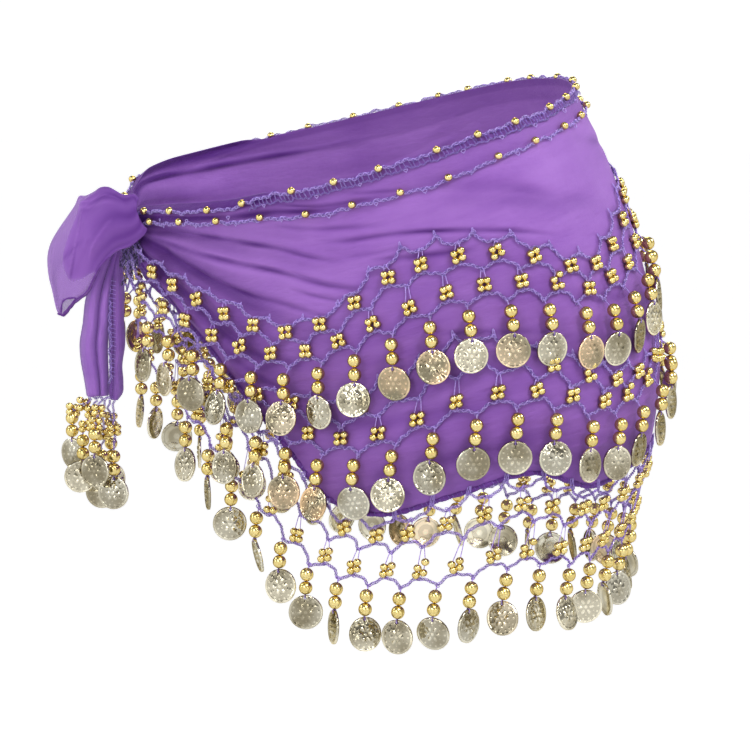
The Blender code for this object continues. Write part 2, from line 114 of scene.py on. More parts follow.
NET_ROWS = table(
    "number start cells yaw | layer bead_out bead_crowd coin_crowd",
    (1, 8.0, 20, 14.0, 2.6, 6.2, 2.6, 5.1),
    (2, 37.0, 17, 14.0, 2.6, 6.2, 0, 1.3),
    (3, 20.0, 20, 50.0, 0, 2.6, 0, 0),
)
YAW_TURN = 2.4
KNOT_HEIGHT = -0.047
KNOT_PROUD = 0.0060
TIE_PROUD = 0.0030
KNOT_HALF_LENGTH = 0.0088
KNOT_HALF_DEPTH = 0.0085
KNOT_HALF_HEIGHT = 0.0135
KNOT_TWIST = 0.9
TAIL_FRONT = -0.001
TASSEL = table(
    "yaw | aside front height",
    (20, 15, 3, -179), (-35, 18, -15, -173), (12, 23, -9, -180),
    (30, 26, 9, -165), (-15, 34, -3, -170), (40, 41, -10, -157),
)
TASSEL_FIRST = 0.0135
TASSEL_LAST = 0.0295
TASSEL_TOP = -0.1475


def smooth(keys, values, at):
    """A smooth curve through the values of a table's column."""
    keys, values, at = (np.asarray(row, float) for row in (keys, values, at))
    slopes = np.gradient(values, keys)
    below = np.clip(np.searchsorted(keys, at) - 1, 0, len(keys) - 2)
    above = below + 1
    span = keys[above] - keys[below]
    share = (at - keys[below]) / span
    blend = share * share * (3 - 2 * share)
    start = share * (1 - share) ** 2 * span * slopes[below]
    end = share * share * (share - 1) * span * slopes[above]
    return values[below] * (1 - blend) + values[above] * blend + start + end


def column(rows, name):
    return np.array([getattr(row, name) for row in rows])


def curves_along(rows, share):
    """Smooth curves through each column of a table whose rows are evenly spaced along a share."""
    return [smooth(np.linspace(0, 1, len(rows)), values, share) for values in np.transpose(rows)]


def ease(value, start, end):
    """0 until start and 1 from end on, or the other way about where start is the higher."""
    share = np.clip((np.asarray(value, float) - start) / (end - start), 0.0, 1.0)
    return share * share * (3 - 2 * share)


def hump(share):
    """0 at both ends of a share, and outside it, and 1 in its middle."""
    return np.sin(np.pi * np.clip(share, 0, 1))


def bell(value, middle, width):
    return np.exp(-(((value - middle) / width) ** 2))


def unit(vectors):
    return vectors / np.linalg.norm(vectors, axis=-1, keepdims=True)


def turns(count):
    """Angles evenly spaced round a full turn."""
    return 2 * np.pi * np.arange(count) / count


def travelled(points):
    """How far along a line of points each of them lies."""
    return np.concatenate([[0.0], np.cumsum(np.linalg.norm(np.diff(points, axis=0), axis=1))])


def from_knot(angle):
    around = np.mod(angle, 360)
    return np.minimum(around, 360 - around)


def line(name, angle):
    return smooth(column(LINES, "angle"), column(LINES, name), from_knot(angle))


def top(angle):
    angle = np.asarray(angle, float)
    return np.where(angle <= 180, line("top_front", angle), line("top_back", angle))


def figure_ring(angle, height):
    """(points on the figure, directions straight out of it)."""
    angle, height = np.broadcast_arrays(np.asarray(angle, float), np.asarray(height, float))
    heights, *shape = np.transpose(FIGURE)
    width, depth, shift_x, shift_y = (smooth(heights, values, height) for values in shape)
    bearing = KNOT_BEARING + np.radians(angle)
    across, along = np.cos(bearing), np.sin(bearing)
    reach = (np.abs(across / width) ** ROUNDNESS + np.abs(along / depth) ** ROUNDNESS) ** (-1 / ROUNDNESS)
    x, y = reach * across, reach * along
    out_x = np.sign(x) * np.abs(x) ** (ROUNDNESS - 1) / width**ROUNDNESS
    out_y = np.sign(y) * np.abs(y) ** (ROUNDNESS - 1) / depth**ROUNDNESS
    out = unit(np.stack([out_x, out_y, np.zeros_like(x)], -1))
    return np.stack([shift_x + x, shift_y + y, height], -1), out


def worn(angle, height, proud):
    points, out = figure_ring(angle, height)
    return points + out * np.asarray(proud)[..., None]


GIRTH_ANGLES = np.arange(0.0, 360.5, 0.5)
GIRTH_RUN = travelled(figure_ring(GIRTH_ANGLES, SPACING_HEIGHT)[0])


def run_at(angle):
    return np.interp(angle, GIRTH_ANGLES, GIRTH_RUN)


def angle_at(run):
    return np.interp(run, GIRTH_RUN, GIRTH_ANGLES)


def knot_lift(angle):
    return KNOT_LIFT * ease(from_knot(angle), KNOT_LIFT_REACH, PANEL_END)


def fan(angle):
    return np.interp(from_knot(angle), *np.transpose(FAN))


def hem_fold(angle, share):
    folds = sum(fold.proud * bell(angle, fold.angle, fold.width) for fold in HEM_FOLDS)
    return folds * np.minimum(share, 1.0) ** 3


def over_cloth(angle, depth):
    """How far proud something lies that bridges the pleats and just clears the cloth."""
    return knot_lift(angle) + fan(angle) + hem_fold(angle, depth / line("hem", angle)) + CLEAR


def crowd(angle):
    """1 where the rows crowd together and their layers stand off, near the knot, and 0 further round."""
    return ease(from_knot(angle), CROWD_FAR, CROWD_NEAR)


def on_scarf(run, depth, proud):
    """A point over the cloth, by its run, its depth and how far it stands off the cloth."""
    angle = angle_at(run)
    return worn(angle, top(angle) - depth, over_cloth(angle, depth) + proud)


def outs_at(run):
    return figure_ring(angle_at(run), SPACING_HEIGHT)[1]


# ---- joined meshes

CLOTH = 0.0005
STRAND_RADIUS = 0.00034
BRAID_WIDE = 0.00078
BRAID_THICK = 0.00050
BRAID_PITCH = 0.0048
BRAID_SAMPLES = 6
BRAID_WAVER = 0.00030
THREAD_RADIUS = 0.00028
Bead = namedtuple("Bead", "radius segments rings squat")
CLUSTER_BEAD = Bead(0.0024, 10, 7, 0.9)
EDGE_BEAD = Bead(0.0024, 12, 8, 0.92)
DROP_BEAD = Bead(0.0039, 16, 10, 1.0)


class Pile:
    """Points and faces gathered from many small shapes, which become one joined mesh.

    Each point has a tint and a shade, mostly from 0 to 1, for its material.  On cloth and thread the tint
    also carries painted light and shade.
    """

    def __init__(self):
        self.points, self.faces, self.tints, self.shades, self.count = [], [], [], [], 0

    def put(self, points, faces, tints, shades=0.0):
        points = np.asarray(points, float).reshape(-1, 3)
        for group in faces:
            self.faces += (group.reshape(-1, group.shape[-1]) + self.count).tolist()
        self.points.append(points)
        self.tints.append(np.broadcast_to(np.ravel(tints), (len(points),)))
        self.shades.append(np.broadcast_to(np.ravel(shades), (len(points),)))
        self.count += len(points)

    def piece(self, name, finish, slot, *nodes):
        data = bpy.data.meshes.new(name)
        data.from_pydata(np.concatenate(self.points).tolist(), [], self.faces)
        for kind, values in (("tint", self.tints), ("shade", self.shades)):
            layer = data.attributes.new(kind, "FLOAT", "POINT")
            layer.data.foreach_set("value", np.concatenate(values).astype(np.float32))
        data.polygons.foreach_set("use_smooth", np.ones(len(data.polygons), bool))
        data.materials.append(finish)
        made = bpy.data.objects.new(name, data)
        bpy.context.scene.collection.objects.link(made)
        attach(made, "root")
        if nodes:
            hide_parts(*nodes)
        return made


def cut_map(made, x=0.0, y=0.0):
    """A UV map of the flat cut, in metres."""
    layer = made.data.uv_layers.new(name="cut")
    corners = np.zeros(len(made.data.loops), int)
    made.data.loops.foreach_get("vertex_index", corners)
    places = np.stack(np.broadcast_arrays(x, y), -1).reshape(-1, 2)
    layer.data.foreach_set("uv", np.broadcast_to(places, (len(made.data.vertices), 2))[corners].ravel())


def thicken(made, thickness):
    wall = made.modifiers.new("wall", "SOLIDIFY")
    wall.thickness = thickness
    wall.offset = -1.0


def sheet_faces(columns, rows):
    index = np.arange((columns + 1) * (rows + 1)).reshape(columns + 1, rows + 1)
    return np.stack([index[:-1, :-1], index[:-1, 1:], index[1:, 1:], index[1:, :-1]], -1)


def sleeve_faces(rings, around):
    """The faces, by ring and place round it, of an open tube."""
    index = np.arange(rings * around).reshape(rings, around)
    beside = np.roll(index, -1, 1)
    return np.stack([index[:-1], index[1:], beside[1:], beside[:-1]], -1)


def tubes(pile, paths, normals, radius, sides, tints):
    """Closed tubes along paths (tube, point, xyz), with normals that lie roughly across them."""
    count, length = paths.shape[:2]
    along = unit(np.gradient(paths, axis=1))
    side = unit(np.cross(along, np.broadcast_to(normals, paths.shape)))
    upward = np.cross(side, along)
    turn = turns(sides)[:, None]
    rings = side[:, :, None] * np.cos(turn) + upward[:, :, None] * np.sin(turn)
    radius = np.broadcast_to(radius, (count, length))[:, :, None, None]
    points = paths[:, :, None] + rings * radius
    index = np.arange(count * length * sides).reshape(count, length, sides)
    walls = sleeve_faces(length, sides)[None] + index[:, :1, :1, None]
    shade = np.repeat(np.broadcast_to(tints, (count,)), length * sides)
    pile.put(points, [walls, index[:, 0], index[:, -1, ::-1]], shade)


def beads(pile, centres, bead):
    """A bead at each centre."""
    polar = (np.pi * np.arange(1, bead.rings) / bead.rings)[:, None]
    turn = turns(bead.segments)
    body = (np.sin(polar) * np.cos(turn), np.sin(polar) * np.sin(turn), np.cos(polar))
    body = np.stack(np.broadcast_arrays(*body), -1).reshape(-1, 3)
    points = np.concatenate([body, [UP, -UP]])
    index = np.arange(len(body)).reshape(bead.rings - 1, bead.segments)
    beside = np.roll(index, -1, 1)
    upper = np.stack([np.full(bead.segments, len(body)), index[0], beside[0]], -1)
    lower = np.stack([np.full(bead.segments, len(body) + 1), beside[-1], index[-1]], -1)
    centres = np.asarray(centres).reshape(-1, 3)
    shift = (np.arange(len(centres)) * len(points))[:, None, None]
    placed = centres[:, None] + points * bead.radius * np.array([1, 1, bead.squat])
    walls = sleeve_faces(bead.rings - 1, bead.segments).reshape(-1, 4)
    tints = np.repeat(RANDOM.random(len(centres)), len(points))
    pile.put(placed, [walls[None] + shift, np.concatenate([upper, lower])[None] + shift], tints)


def resample(points, step, *others):
    """The points, and others with them, evenly spaced along their line."""
    places = travelled(points)
    at = np.linspace(0, places[-1], max(int(places[-1] / step), 2) + 1)
    return [np.stack([np.interp(at, places, row[:, k]) for k in range(3)], -1) for row in (points, *others)]


def braid(pile, points, outs, size=1.0, tints=(-0.2, 0.5, 1.1)):
    """A crochet chain, as three strands plaited along a line, with outs pointing away from the cloth.  Its
    tints paint the strands darker and lighter, as painted shade and light on the plait.
    """
    outs = np.broadcast_to(outs, points.shape)
    points, outs = resample(points, BRAID_PITCH / BRAID_SAMPLES * size, outs)
    across = unit(np.cross(outs, unit(np.gradient(points, axis=0))))
    phase = 2 * np.pi * np.arange(len(points)) / BRAID_SAMPLES
    offsets = RANDOM.uniform(0, 2 * np.pi, 3)
    waver = sum(np.sin(phase * rate + offset) for rate, offset in zip((0.23, 0.41, 0.67), offsets))
    points = points + across * (BRAID_WAVER * waver)[:, None]
    turn = (phase + turns(3)[:, None])[..., None]
    strands = points + size * (across * BRAID_WIDE * np.sin(turn) + outs * BRAID_THICK * np.sin(2 * turn))
    tubes(pile, strands, outs, STRAND_RADIUS * size, 3, tints)


def scarf_threads(pile, runs, depths, prouds, radius, sides, tints):
    """Threads whose points (thread, point) are given over the cloth."""
    tubes(pile, on_scarf(runs, depths, prouds), outs_at(runs), radius, sides, tints)


# ---- materials


class Nodes:
    """A node tree.  Most calls add a node, fed with numbers, colours or outputs, and return its output."""

    def __init__(self, tree):
        self.tree = tree

    def feed(self, socket, value):
        if isinstance(value, bpy.types.NodeSocket):
            self.tree.links.new(value, socket)
        elif isinstance(value, tuple):
            socket.default_value = value + (1.0,) * (len(socket.default_value) - len(value))
        else:
            socket.default_value = value

    def shade(self, socket, value):
        self.feed(self.tree.nodes["Principled BSDF"].inputs[socket], value)

    def add(self, kind, output, inputs, **settings):
        made = self.tree.nodes.new("ShaderNode" + kind)
        for name, value in settings.items():
            setattr(made, name, value)
        for socket, value in inputs.items():
            self.feed(made.inputs[socket], value)
        return made.outputs[output]

    def mix(self, factor, first, second):
        """One colour or link, turning to another as the factor rises."""
        return self.add("Mix", 2, {0: factor, 6: first, 7: second}, data_type="RGBA")

    def maths(self, operation, *values):
        return self.add("Math", 0, dict(enumerate(values)), operation=operation)

    def noise(self, scale, detail=3.0, at=None):
        """Noise at a scale in features per metre."""
        at = at or self.add("TexCoord", "Object", {})
        return self.add("TexNoise", "Fac", {"Scale": scale, "Detail": detail, "Vector": at})

    def attribute(self, name):
        return self.add("Attribute", "Fac", {}, attribute_name=name)

    def remap(self, value, low, high):
        """A factor that runs from 0 to 1 as value runs from low to high."""
        return self.add("MapRange", "Result", {"From Min": low, "From Max": high, "Value": value})

    def bump(self, height, strength, distance, under=None):
        inputs = {"Strength": strength, "Distance": distance, "Height": height}
        if under:
            inputs["Normal"] = under
        return self.add("Bump", "Normal", inputs)

    def stretched(self, across, along):
        """The cut's UV, scaled unevenly, so that noise turns into crinkles that run across the cloth."""
        place = self.add("UVMap", "UV", {}, uv_map="cut")
        return self.add("Mapping", "Vector", {"Scale": (across, along, 1.0), "Vector": place})

    def weave(self):
        """Warp and weft along the cloth's own UV, which is in metres."""
        inputs = {"Scale": WEAVE, "Vector": self.add("UVMap", "UV", {}, uv_map="cut")}
        threads = [self.add("TexWave", "Fac", inputs, bands_direction=way) for way in "XY"]
        return self.maths("MAXIMUM", *threads)


def finish(name, paint, **settings):
    """A material: its shader's plain settings, and a paint function that adds what varies over it."""
    made = bpy.data.materials.new(name)
    made.use_nodes = True
    nodes = Nodes(made.node_tree)
    for socket, value in settings.items():
        nodes.shade(socket.replace("_", " "), value)
    paint(nodes)
    return made


# Painted light on the cloth: VIOLET_LIT is its lit colour and VIOLET_SHINE its painted sheen.  VIOLET_DEEP
# is the colour of doubled cloth and of painted shade.
VIOLET_SHINE = (0.31, 0.14, 0.48)
VIOLET_LIT = (0.275, 0.118, 0.44)
VIOLET = (0.22, 0.085, 0.375)
VIOLET_DEEP = (0.075, 0.014, 0.175)
WEAVE = 1500.0


def paint_chiffon(nodes, under=None):
    """Crinkled cloth with a fine plain weave, painted in soft random patches of its lit colour and in
    streaks of painted sheen, and darkened by its tint: doubled cloth, and painted shade in creases, folds
    and hollows, under the nets and by the knot, with a painted highlight on sharp ridges.
    """
    cloud = nodes.remap(nodes.noise(22.0, 4.0), 0.35, 0.68)
    streak = nodes.remap(nodes.noise(1.0, at=nodes.stretched(14.0, 95.0)), 0.38, 0.62)
    body = nodes.mix(cloud, VIOLET, VIOLET_LIT)
    sheen_streaked = nodes.mix(nodes.maths("MULTIPLY", streak, 0.40), body, VIOLET_SHINE)
    nodes.shade("Base Color", nodes.mix(nodes.attribute("tint"), sheen_streaked, VIOLET_DEEP))
    grain = nodes.bump(nodes.maths("ADD", nodes.weave(), nodes.noise(420.0)), 0.20, 0.0003, under)
    crinkle = nodes.noise(1.0, 4.0, nodes.stretched(40.0, 130.0))
    nodes.shade("Normal", nodes.bump(crinkle, 0.65, 0.0024, grain))


# Painted light: an emission glow that stands in for light coming through the cloth, stronger on a single
# layer.
GLOW_SINGLE = (0.085, 0.045, 0.130)  # the light that comes through from behind
GLOW_LAYERED = (0.035, 0.008, 0.075)


def paint_sheer(nodes):
    """Chiffon that lets light through, more where it is a single layer, with a painted glow for the light
    that comes through it.
    """
    paint_chiffon(nodes, nodes.bump(nodes.noise(150.0), 0.35, 0.0012))
    layers_and_shade = nodes.attribute("shade")
    nodes.shade("Alpha", nodes.maths("MULTIPLY_ADD", layers_and_shade, 0.34, 0.52))
    nodes.shade("Emission Color", nodes.mix(layers_and_shade, GLOW_SINGLE, GLOW_LAYERED))


THREAD_LIT = (0.47, 0.32, 0.80)
THREAD_SHADED = (0.09, 0.03, 0.30)
THREAD_DEEP_SHADE = (0.022, 0.006, 0.07)


def paint_crochet(nodes):
    """Soft spun thread, mixed between its lit and shaded colours as painted light and shade: each strand is
    painted lighter or darker as light falls on the plait, and a tint far below 0 is painted deep shade.
    """
    fibre = nodes.remap(nodes.noise(1800.0), 0.3, 0.7)
    tint = nodes.attribute("tint")
    both = nodes.maths("MULTIPLY_ADD", fibre, 0.5, nodes.maths("MULTIPLY", tint, 0.6))
    spun = nodes.mix(both, THREAD_SHADED, THREAD_LIT)
    nodes.shade("Base Color", nodes.mix(nodes.remap(tint, -0.75, -0.35), THREAD_DEEP_SHADE, spun))
    nodes.shade("Normal", nodes.bump(nodes.noise(2600.0, 2.0), 0.5, 0.0002))


GOLD_PALE = (0.86, 0.72, 0.33)
GOLD_DEEP = (0.68, 0.52, 0.17)


def paint_bead(nodes):
    """Plated plastic, a little uneven from bead to bead."""
    cloud = nodes.remap(nodes.noise(900.0, 2.0), 0.35, 0.65)
    both = nodes.maths("MULTIPLY", nodes.maths("ADD", cloud, nodes.attribute("tint")), 0.5)
    nodes.shade("Base Color", nodes.mix(both, GOLD_DEEP, GOLD_PALE))
    nodes.shade("Roughness", nodes.maths("MULTIPLY_ADD", nodes.noise(1500.0), 0.12, 0.19))


COIN_BRASS = (0.93, 0.87, 0.68)
COIN_GREY = (0.70, 0.67, 0.55)
COIN_WARM = (0.88, 0.60, 0.34)
COIN_TARNISH_AND_DIM_REFLECTION = (0.36, 0.32, 0.22)
COIN_HOLLOW_DARK = (0.10, 0.08, 0.04)


def paint_coin(nodes):
    """Thin stamped metal, from greyish brass to warm gold, with dark patches across each coin, partly
    tarnish and partly a painted dim reflection, and darker in the relief's hollows.
    """
    tint = nodes.attribute("tint")
    grey = nodes.mix(nodes.remap(tint, 0.15, 0.55), COIN_GREY, COIN_BRASS)
    warm = nodes.mix(nodes.remap(tint, 0.84, 0.98), grey, COIN_WARM)
    # Patches across each coin, partly tarnish and partly a painted dim reflection.
    body = nodes.mix(nodes.remap(nodes.noise(55.0, 1.5), 0.38, 0.60), COIN_TARNISH_AND_DIM_REFLECTION, warm)
    # Darker in the relief's hollows.
    hollow = nodes.maths("MULTIPLY", nodes.remap(nodes.attribute("shade"), 0.60, 1.0), 0.55)
    nodes.shade("Base Color", nodes.mix(hollow, body, COIN_HOLLOW_DARK))
    nodes.shade("Roughness", nodes.maths("MULTIPLY_ADD", nodes.noise(700.0), 0.20, 0.05))
    warped = nodes.bump(nodes.noise(75.0, 1.5), 0.7, 0.0040)
    nodes.shade("Normal", nodes.bump(nodes.noise(900.0), 0.3, 0.0002, warped))


PAPER = (0.84, 0.84, 0.85)
PAPER_PALE = (0.87, 0.87, 0.875)
# Painted light: the floor's glow, dim under the scarf as a painted shadow and bright far off.
FLOOR_GLOW = (0.10, 0.10, 0.10)
FLOOR_GLOW_FAR = (0.75, 0.75, 0.75)


def paint_paper(nodes):
    """A pale floor that glows with painted light: dim in the middle, as a painted shadow under the scarf,
    and brighter away from it.
    """
    nodes.shade("Base Color", nodes.mix(nodes.remap(nodes.noise(1.5), 0.3, 0.7), PAPER, PAPER_PALE))
    reach = nodes.add("VectorMath", "Value", {0: nodes.add("TexCoord", "Object", {})}, operation="LENGTH")
    nodes.shade("Emission Color", nodes.mix(nodes.remap(reach, 0.8, 3.2), FLOOR_GLOW, FLOOR_GLOW_FAR))


# ---- the hip panel

PANEL_COLUMNS = 290
PANEL_ROWS = 144
PANEL_SPACING = ((0, 0.62, 1), (0, 0.46, 1))  # rows lie closer over the upper cloth, which creases more
# Each crease is a trough along the cloth through three angles at three depths, and its trough is painted in
# shade, more for a deeper sink.
CREASES = table(
    "angle_1 angle_2 angle_3 | depth_1 depth_2 depth_3 width sink",
    (4, 34, 80, 15, 20.5, 44, 2, 2.2),
    (8, 45, 88, 19, 37.5, 64, 2.2, 2),
    (6, 42, 74, 23, 52, 73.5, 2.4, 1.6),
    (5, 40, 92, 6.2, 10, 15, 2.2, 2.2),
    (60, 80, 92, 20, 25.5, 31, 1.8, 1.2),
    (74, 98, 130, 31.2, 39.2, 65, 1.7, 2.2),
    (86, 98, 112, 47, 52.6, 59, 2.2, 1.6),
    (58, 72, 88, 7, 10.2, 14.2, 1.3, 1.3),
    (79, 87, 96, 41.5, 44, 45.5, 1.8, 0.9),
    (64, 73, 84, 47, 53.6, 64, 1.8, 1),
    (62, 71, 80, 56, 61, 67, 1.6, 0.9),
    (82, 88, 97, 7, 10.5, 15, 1.2, 1),
    (96, 109, 124, 94, 103.4, 116, 1.8, 1.2),
    (100, 121, 140, 13, 33, 54, 6, 1),
    (104, 128, 150, 26, 45, 60, 7, 0.9),
    (26, 46, 66, 62, 88, 101, 3, 1.4),
    (34, 52, 70, 80, 106, 125, 3.4, 1.2),
    (70, 92, 118, 132, 140, 139, 6, 0.9),
    (84, 104, 128, 168, 170, 172, 7, 1),
    (126, 146, 168, 96, 112, 123, 5, 1),
    (146, 166, 186, 22, 34, 42, 4, 1.1),
    (184, 206, 236, 18, 30, 46, 5, 1.2),
    (200, 226, 250, 58, 70, 74, 4, 1.2),
    (214, 238, 268, 104, 116, 123, 5.5, 1),
    (238, 262, 292, 26, 36, 39, 2.6, 1.4),
    (250, 276, 306, 142, 144, 127, 6, 1.2),
    (262, 292, 330, 56, 52, 38, 2.4, 1.6),
    (272, 316, 355, 44, 35, 17, 2.1, 2),
    (280, 322, 354, 70, 52, 24, 2.3, 1.8),
    (268, 320, 355, 16, 11, 6.6, 2.2, 2),
    (292, 320, 348, 96, 78, 45, 3, 1.4),
)
CREASE_SPREAD = 0.75  # how wide a crease is made, for its width
CREASE_DARK = 0.0024  # the sink at which a crease is fully dark
RIDGES = ((-2.1, 1.4, 0.40), (2.2, 1.6, 0.20))  # place, width and height of the two beside a crease
RIDGE_HIGHEST = 0.0006  # how far out of the cloth ridges may stand in all
ROLL_PROUD = 0.0020  # the top edge rolls over above the edging near the knot
ROLL_NEAR = 52.0
ROLL_FAR = 70.0
EDGING_ABOVE = 0.0015  # from the edging's line up to its upper chain, and down to its lower one
EDGING_BELOW = 0.0027
# The pleats' hollows are painted in shade, darkest at this depth.
PLEAT_DEEP = 0.0022  # the pleat whose hollow is darkest
SLACK = 0.00035
# What darkens the cloth, how much, and what it eases in over, each from a start to an end: doubled and
# rolled cloth, the band between the edging and the belt darker still by the knot, and painted shade under
# the edging, in the gathers by the knot, above the first net and as a painted shadow round it.  "knot" is
# the angle from the knot, and the others are depths below that line of the scarf.
DARKER = {
    "doubled": (0.30, ("knot", 40, 55), ("belt", 0.0005, -0.0005)),
    "rolled": (0.78, ("knot", 66, 50), ("edge", 0.0010, -0.0010)),
    "shut": (0.75, ("knot", 46, 24), ("edge", 0, 0.002), ("belt", 0.0015, -0.001)),
    "whipped": (0.26, ("knot", 46, 56), ("edge", -0.0025, -0.0010), ("edge", 0.0036, 0.0022)),
    "gathered": (0.22, ("knot", 30, 4)),
    "netted": (0.20, ("net_1", -0.004, 0.010)),
    "drawn": (0.42, ("knot", 66, 46), ("net_1", -0.022, -0.003)),
}


def creases(angle, depth):
    """(how far the creases move the cloth out, how much painted shade lies in their troughs, from 0 to 1).
    """
    moved = np.zeros(np.broadcast(angle, depth).shape)
    fold_shade = np.zeros_like(moved)
    for crease in CREASES:
        start, middle, end, *depths, width, sink = crease
        fade = hump((angle - start) / (end - start)) ** 0.7 * (0.80 + 0.20 * np.sin(angle * 0.35 + middle))
        away = (depth - smooth((start, middle, end), depths, angle)) / (width * CREASE_SPREAD)
        trough = bell(away, 0, 1) * fade
        moved += sink * (sum(high * bell(away, *ridge) for *ridge, high in RIDGES) * fade - trough)
        fold_shade = np.maximum(fold_shade, trough * min(sink / CREASE_DARK, 0.95))
    return moved, fold_shade


def bare_top(angle):
    """How far below the top line the cloth starts: the edging is its edge, but where it rolls above it."""
    return (line("edge", angle) - EDGING_ABOVE + 0.0003) * ease(from_knot(angle), 57, 65)


def slack(angle, share):
    """Slow uneven waves, most of them down the cloth, as it hangs over the hips."""
    turn = np.radians(angle)
    slow = np.sin(turn * 11 + 5 * share) + 0.7 * np.sin(turn * 23 - 3 * share + 1.3)
    return SLACK * slow * hump(share) ** 0.5


def darker(name, angle, depth):
    amount, *fades = DARKER[name]
    for what, start, end in fades:
        amount = amount * ease(from_knot(angle) if what == "knot" else depth - line(what, angle), start, end)
    return amount


def panel_place(angle, share):
    """(points of the cloth's outer face, how dark it is painted: doubled cloth, and painted shade in
    creases, pleat hollows, under the edging, by the knot and round the first net).
    """
    depth = np.maximum(share * line("hem", angle), bare_top(angle))
    moved, fold_shade = creases(angle, depth)
    pleat = -fan(angle) * np.cos(np.pi * share * PANEL_PLEATS)
    roll = ROLL_PROUD * hump(depth / line("edge", angle)) * ease(from_knot(angle), ROLL_FAR, ROLL_NEAR)
    proud = knot_lift(angle) + pleat + hem_fold(angle, share) + roll
    proud = proud + slack(angle, share) + np.minimum(moved, RIDGE_HIGHEST)
    dark = {name: darker(name, angle, depth) for name in DARKER}
    # Doubled and rolled cloth and painted shade, with the painted shadow round the first net.
    layers_and_shade = np.maximum(dark.pop("netted"), dark.pop("drawn")) + sum(dark.values())
    # Painted shade in the pleats' hollows.
    hollow = np.clip(-pleat / PLEAT_DEEP, 0, 1) * 0.45
    return worn(angle, top(angle) - depth, proud), np.clip(np.maximum(fold_shade, hollow) + layers_and_shade, 0, 1)


def hip_panel(cloth):
    angle = np.linspace(PANEL_END, 360 - PANEL_END, PANEL_COLUMNS + 1)[:, None]
    share = np.interp(np.linspace(0, 1, PANEL_ROWS + 1), *PANEL_SPACING)[None]
    points, fold_shade = panel_place(angle, share)
    pile = Pile()
    pile.put(points, [sheet_faces(PANEL_COLUMNS, PANEL_ROWS)], fold_shade)
    made = pile.piece("hip_panel_cloth", cloth, "hip_panel", "hip_panel")
    cut_map(made, run_at(angle), np.maximum(share * line("hem", angle), bare_top(angle)))
    thicken(made, CLOTH)
    return made


HEM_POINTS = 900
HEM_SHARE = 0.996  # how far down the cloth the hem is rolled
HEM_RADIUS = 0.0014
WHIP_RADIUS = HEM_RADIUS * 1.16
WHIP_STEP = 0.0004
WHIP_PITCH = 0.0026


def hem_roll(cloth, crochet):
    """The rolled hem, and the thread that is whipped over it."""
    angle = np.linspace(PANEL_END, 360 - PANEL_END, HEM_POINTS)
    outs = outs_at(run_at(angle))
    centre = panel_place(angle, np.full_like(angle, HEM_SHARE))[0] - outs * CLOTH / 2
    wobble = HEM_RADIUS * (1 + 0.18 * np.sin(np.arange(HEM_POINTS) * 0.9) + 0.1 * RANDOM.random(HEM_POINTS))
    pile = Pile()
    tubes(pile, centre[None], outs, wobble[None], 8, 0.80)
    roll = pile.piece("hem_roll", cloth, "hip_panel")
    cut_map(roll)
    even, out = resample(centre, WHIP_STEP, outs)
    along = unit(np.gradient(even, axis=0))
    turn = 2 * np.pi * np.arange(len(even))[:, None] * WHIP_STEP / WHIP_PITCH
    helix = even + (np.cross(out, along) * np.cos(turn) + out * np.sin(turn)) * WHIP_RADIUS
    whip = Pile()
    tubes(whip, helix[None], along, THREAD_RADIUS * 0.7, 3, -0.3)
    whip.piece("hem_stitches", crochet, "hip_panel")
    return roll


# ---- the tie

AWAY = np.array([math.cos(KNOT_BEARING), math.sin(KNOT_BEARING), 0.0])  # from the wearer, at the knot
ONWARD = np.array([-AWAY[1], AWAY[0], 0.0])
KNOT_AROUND = 96
KNOT_ALONG = 25
# Ridges wound round the knot: how high for its size, how many, how far they twist, and where they start.
KNOT_RIDGES = ((0.115, 5, KNOT_TWIST, 0.0), (0.035, 11, 2.4, 0.8), (0.02, 17, -1.0, 0.0))
NECK_RINGS = 20
NECK_AROUND = 60
NECK = table(
    "| aside front height half_aside half_height",
    (4, 5, -46, 6, 10),
    (5, 9.5, -45.5, 6.6, 10.5),
    (6.2, 13.5, -44.5, 5.6, 10),
    (7.2, 17.5, -43.5, 5.2, 10.8),
    (8, 21.5, -42, 5, 11.5),
)


def at_knot(aside, front, height):
    """Points in the knot's frame: aside is away from the wearer, and front a quarter turn on from that."""
    aside, front, height = (place[..., None] for place in np.broadcast_arrays(aside, front, height))
    base = worn(0.0, KNOT_HEIGHT, 0.0) * (1, 1, 0)
    return base + AWAY * (TIE_PROUD + aside) + ONWARD * front + UP * height


def knot(cloth):
    """The knot's wound surface, in ridges of cloth that twist from one end to the other, and its neck."""
    points, out = figure_ring(0.0, KNOT_HEIGHT)
    turn = turns(KNOT_AROUND)[:, None]
    end = np.linspace(-1, 1, KNOT_ALONG)[None]
    folds = sum(high * np.cos(turn * n + twist * end + start) for high, n, twist, start in KNOT_RIDGES)
    scale = (1.07 - 0.28 * np.abs(end) ** 2.6) * (1 + folds)
    around = out * (KNOT_PROUD + KNOT_HALF_DEPTH * np.cos(turn) * scale)[..., None]
    around = around + UP * (KNOT_HALF_HEIGHT * np.sin(turn) * scale)[..., None]
    along = np.array([-out[1], out[0], 0.0]) * (KNOT_HALF_LENGTH * end)[..., None]
    index = np.arange(KNOT_AROUND * KNOT_ALONG).reshape(KNOT_AROUND, KNOT_ALONG)
    beside = np.roll(index, -1, 0)
    walls = np.stack([index[:, :-1], beside[:, :-1], beside[:, 1:], index[:, 1:]], -1)
    caps = [index[None, ::-1, 0], index[None, :, -1]]
    pile = Pile()
    # Painted shade in the grooves between the wound ridges, and paler on their crests.
    pile.put(points + along + around, [walls, *caps], np.clip(0.5 - 4 * folds, 0, 0.9))
    knot_neck(pile)
    made = pile.piece("knot_cloth", cloth, "knot", "knot")
    cut_map(made)


